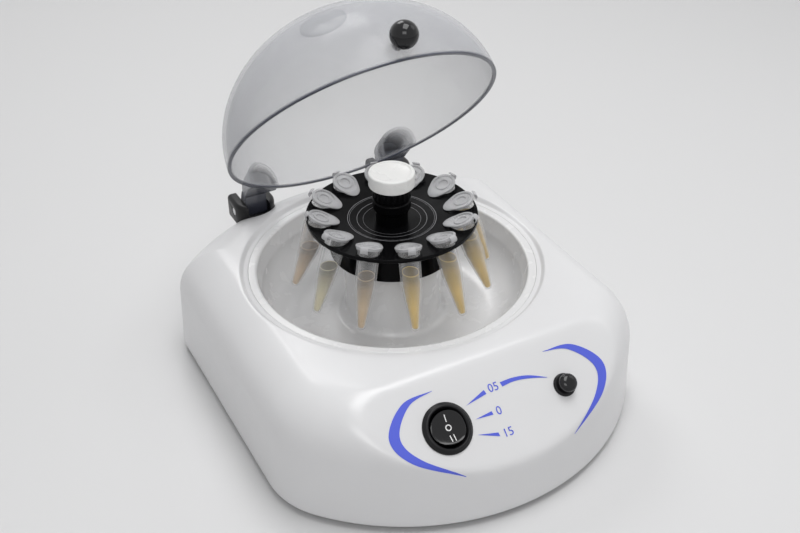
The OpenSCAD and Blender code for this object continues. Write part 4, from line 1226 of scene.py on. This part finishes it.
# a hinge lug, an arch that runs back from the dome and sinks to the hinge block; inward gives its hollow
def lugSolid(x, inward):
    width, top = lid["lugW"] / 2 - inward, rimZ + lid["lugH"] - inward
    low = rimZ + lid["rimBand"] - (0.05 if inward else 0)
    arch = [(-width, low)] + arcPoints((0, top - width), width, 180, 0, 20) + [(width, low)]
    rear = blockLow[1] + lid["lugRear"] - inward
    frontY = rotorY + lid["radius"] - lid["lugFront"]
    edgeY = rotorY + housing["recessRadius"] - 7
    drop = lid["lugH"] - lid["rimBand"] - 5
    verts = [(x + px, y, pz - sink * ((pz - low) / (top - low)))
             for y, sink in ((frontY, 0), (edgeY, 0), (rear, drop)) for px, pz in arch]
    rings = numberedRings(3, len(arch))
    return outward(makeObject("lug", verts, bridged(rings) + [rings[0], rings[-1][::-1]]))


# the eye that the hinge pin runs through
def knuckleSolid(x):
    foot, rear = rimZ + lid["rimBand"], blockLow[1] + lid["lugRear"]
    half = lid["knuckleW"] / 2
    outline = [(rear - 2.2, foot), (rear + 0.6, foot), (hingeY - 3, hingeZ - 4)]
    outline += arcPoints((hingeY, hingeZ), lid["knuckleR"], -127, 45, 18)
    outline += [(hingeY - 8, foot + 5), (rear - 2.2, foot + 5)]
    verts = [(x + side * half, y, z) for side in (-1, 1) for y, z in outline]
    n = len(outline)
    faces = [list(range(n)), [n + k for k in range(n)][::-1]]
    faces += [(k, n + k, n + (k + 1) % n, (k + 1) % n) for k in range(n)]
    return cut(outward(makeObject("knuckle", verts, faces)), pinBore(x, lid["boreR"]))


# 1 at the dome's rim and nearly 1 on the lugs: painted shade, for the dark line of the edge-on wall and the lugs' dark
# look
def paintedEdgeShade(point):
    rise = point.z - rimZ
    rim = min(1, max(0, (lid["rimLine"] - rise) / lid["rimFade"]))
    reach = math.hypot(math.hypot(point.x, point.y - rotorY) / lid["radius"], rise / lid["height"])
    return max(rim, lid["lugShade"] if reach > 1.006 else 0)


def makeLid():
    dome = domeShell()
    for side in (-1, 1):
        cut(dome, lugSolid(side * lid["lugX"], 0), "UNION")
    inner = domeProfile(lid["radius"] - lid["wall"], lid["height"] - lid["wall"], 1)
    cut(dome, atRotor(revolve("hollow", [(0, rimZ - 1)] + inner[:-1] + [(0, inner[-1][1])], 192)))
    for side in (-1, 1):
        cut(dome, lugSolid(side * lid["lugX"], lid["lugWall"]))
        cut(dome, knuckleSolid(side * lid["knuckleX"]), "UNION")
    mark(dome, "paintedEdgeShade", [paintedEdgeShade(v.co / mm) for v in dome.data.vertices])
    return moved(dome, lidOpen)


finishPiece(makeLid(), "lid_body", domeClear, ["lid"], 30)


crownDisc = {"radius": 12.8, "rise": 0.9, "edgeLine": 0.5, "softness": 0.4}


def makeLidDisc():
    radius = crownDisc["radius"]
    crown = [(r, rimZ + lid["height"] * math.sqrt(1 - (r / lid["radius"]) ** 2)) for r in np.linspace(0, radius, 12)]
    top = [(r, z + crownDisc["rise"]) for r, z in crown]
    profile = [(0, crown[0][1] + 0.02)] + [(r, z + 0.02) for r, z in crown[1:]]
    edge = rounded([profile[-1], (radius, top[-1][1]), (radius - 1.2, top[-2][1])], crownDisc["softness"], 4)
    disc = revolve("lidDisc", profile[:-1] + edge[:-1] + top[-2:0:-1] + [(0, top[0][1])], 96)
    # a ring of painted shade along the disc's edge
    lineFrom = (radius - crownDisc["edgeLine"]) * mm
    mark(disc, "paintedEdgeShade", [1 if math.hypot(v.co.x, v.co.y) > lineFrom else 0 for v in disc.data.vertices])
    return moved(atRotor(disc), lidOpen)


# the disc's dark colour is painted shade at its edge
discClear = clearPlastic("discClear", (0.86, 0.86, 0.88), 0.4, 0.9, 0.12, (0.03, 0.032, 0.04), "paintedEdgeShade", 0.15)
finishPiece(makeLidDisc(), "lid_body", discClear, ["lid_disc"], 40)


knob = {"radius": 6.7, "up": 9.3, "footR": 4.3, "footRise": 0.25, "sunk": 1}


def makeKnob():
    radius, foot, rise = knob["radius"], knob["footR"], knob["footRise"]
    profile = [(0, rise), (foot - 0.1, rise), (foot + 0.1, rise + 0.25), (foot, 1.4)]
    for a in np.linspace(math.degrees(math.asin(foot / radius)), 176, 30):
        c, s = polar(a)
        profile.append((radius * s, radius - knob["sunk"] - radius * c))
    profile.append((0, 2 * radius - knob["sunk"]))
    place = shift(0, rotorY - lid["radius"], rimZ + knob["up"]) @ turn(90, "X")
    return moved(moved(revolve("lidKnob", profile, 96), place), lidOpen)


finishPiece(makeKnob(), "lid_body", blackGloss, ["lid_knob"], 50)
print("lid made")


# what stays as the CAD made it, with its own finish

keptFinishes = {
    "base_plate": platePaint, "rubber_feet": rubberBlack, "motor_rings": rubberBlack, "shaft_seal": rubberBlack,
    "motor_end_cap": blackMoulding, "board_parts": blackMoulding, "power_socket": blackMoulding,
    "circuit_board": boardGreen, "switch_terminals": brassMetal, "board_screws": brassMetal,
}
for nodeName, nodeObject in frame["nodes"].items():
    finish = keptFinishes.get(nodeName, steel)
    if not nodeObject.material_slots:
        nodeObject.data.materials.append(finish.material)
    for materialSlot in nodeObject.material_slots:
        materialSlot.material = finish.material
print("kept nodes finished")


# floor, light and camera

stage = {"floorHalf": 3000, "floorColour": (0.71, 0.71, 0.715), "backdrop": (0.86, 0.86, 0.865),
         "fade": (0.65, 1.7),  # metres from the middle where the floor turns into the backdrop
         "ambient": 0.35}
half = stage["floorHalf"]
floor = makeObject("floor", [(-half, -half, 0), (half, -half, 0), (half, half, 0), (-half, half, 0)], [(0, 1, 2, 3)])


def backgroundRays(tree):
    path = tree.nodes.new("ShaderNodeLightPath")
    rays = path.outputs["Is Camera Ray"]
    for kind in ("Is Glossy Ray", "Is Transmission Ray"):
        either = tree.nodes.new("ShaderNodeMath")
        either.operation = "MAXIMUM"
        tree.links.new(rays, either.inputs[0])
        tree.links.new(path.outputs[kind], either.inputs[1])
        rays = either.outputs[0]
    return rays


def floorFinish():
    finish = Finish("floorPaint", stage["floorColour"], 0.6)
    finish.bump(finish.noise(9, 4), 0.01)
    reach = finish.node("ShaderNodeVectorMath", operation="LENGTH")
    finish.link(finish.coords, reach.inputs[0])
    near, away = stage["fade"]
    fade = finish.node("ShaderNodeMapRange", interpolation_type="SMOOTHSTEP", fromMin=near, fromMax=away)
    finish.link(reach.outputs["Value"], fade.inputs["Value"])
    share = finish.node("ShaderNodeMath", operation="MULTIPLY")
    finish.link(fade.outputs[0], share.inputs[0])
    finish.link(backgroundRays(finish.tree), share.inputs[1])
    far = finish.node("ShaderNodeEmission")
    far.inputs["Color"].default_value = (*stage["backdrop"], 1)
    mix = finish.node("ShaderNodeMixShader")
    finish.link(share.outputs[0], mix.inputs["Fac"])
    finish.link(finish.shader.outputs[0], mix.inputs[1])
    finish.link(far.outputs[0], mix.inputs[2])
    finish.link(mix.outputs[0], finish.tree.nodes["Material Output"].inputs["Surface"])
    return finish


floor.data.materials.append(floorFinish().material)


def makeWorld(light, background):
    world = bpy.data.worlds.new("studio")
    scene.world = world
    world.use_nodes = True
    nodes, links = world.node_tree.nodes, world.node_tree.links
    nodes.clear()
    out = nodes.new("ShaderNodeOutputWorld")
    mix = nodes.new("ShaderNodeMixShader")
    lit = nodes.new("ShaderNodeBackground")
    lit.inputs["Color"].default_value = (1, 1, 1, 1)
    lit.inputs["Strength"].default_value = light
    seen = nodes.new("ShaderNodeBackground")
    seen.inputs["Color"].default_value = (*background, 1)
    seen.inputs["Strength"].default_value = 1
    links.new(backgroundRays(world.node_tree), mix.inputs["Fac"])
    links.new(lit.outputs[0], mix.inputs[1])
    links.new(seen.outputs[0], mix.inputs[2])
    links.new(mix.outputs[0], out.inputs["Surface"])


makeWorld(stage["ambient"], stage["backdrop"])


def areaLamp(name, place, target, size, watts):
    data = bpy.data.lights.new(name, "AREA")
    data.shape = "RECTANGLE"
    data.size, data.size_y = size
    data.energy = watts
    lamp = bpy.data.objects.new(name, data)
    lamp.location = Vector(place)
    lamp.rotation_euler = (Vector(target) - Vector(place)).to_track_quat("-Z", "Y").to_euler()
    scene.collection.objects.link(lamp)


lamps = {  # place, target and size in metres, then watts
    "keyAbove": ((0.12, -0.1, 1.05), (0, 0, 0.05), (0.7, 0.5), 5.2),
    "rearTop": ((0.1, 0.8, 0.9), (0, 0, 0.06), (0.45, 0.45), 2.6),
    "fillRight": ((0.9, -0.1, 0.8), (0, 0, 0.05), (0.5, 0.5), 0.7),
    "fillFront": ((-0.4, -0.85, 0.85), (0, -0.05, 0.05), (0.6, 0.4), 2.3),
}
for lampName, lamp in lamps.items():
    areaLamp(lampName, *lamp)

camera = bpy.data.objects.new("camera", bpy.data.cameras.new("camera"))
scene.collection.objects.link(camera)
scene.camera = camera
view = {"place": (-220.16, rotorY - 426.06, 388.29), "azimuth": -27.80, "elevation": 34.51, "roll": -0.27,
        "focal": 1118.8, "imageWidth": 800}
camera.data.sensor_width = 36
camera.data.lens = view["focal"] * 36 / view["imageWidth"]
azimuth, elevation = math.radians(view["azimuth"]), math.radians(view["elevation"])
back = Vector((math.sin(azimuth) * math.cos(elevation), -math.cos(azimuth) * math.cos(elevation), math.sin(elevation)))
right = Vector((math.cos(azimuth), math.sin(azimuth), 0))
up = back.cross(right)
pose = Matrix((right, up, back)).transposed().to_4x4() @ turn(view["roll"], "Z")
pose.translation = Vector(view["place"]) * mm
camera.matrix_world = pose
camera.data.clip_start = 0.01
print("stage, lamps and camera made")
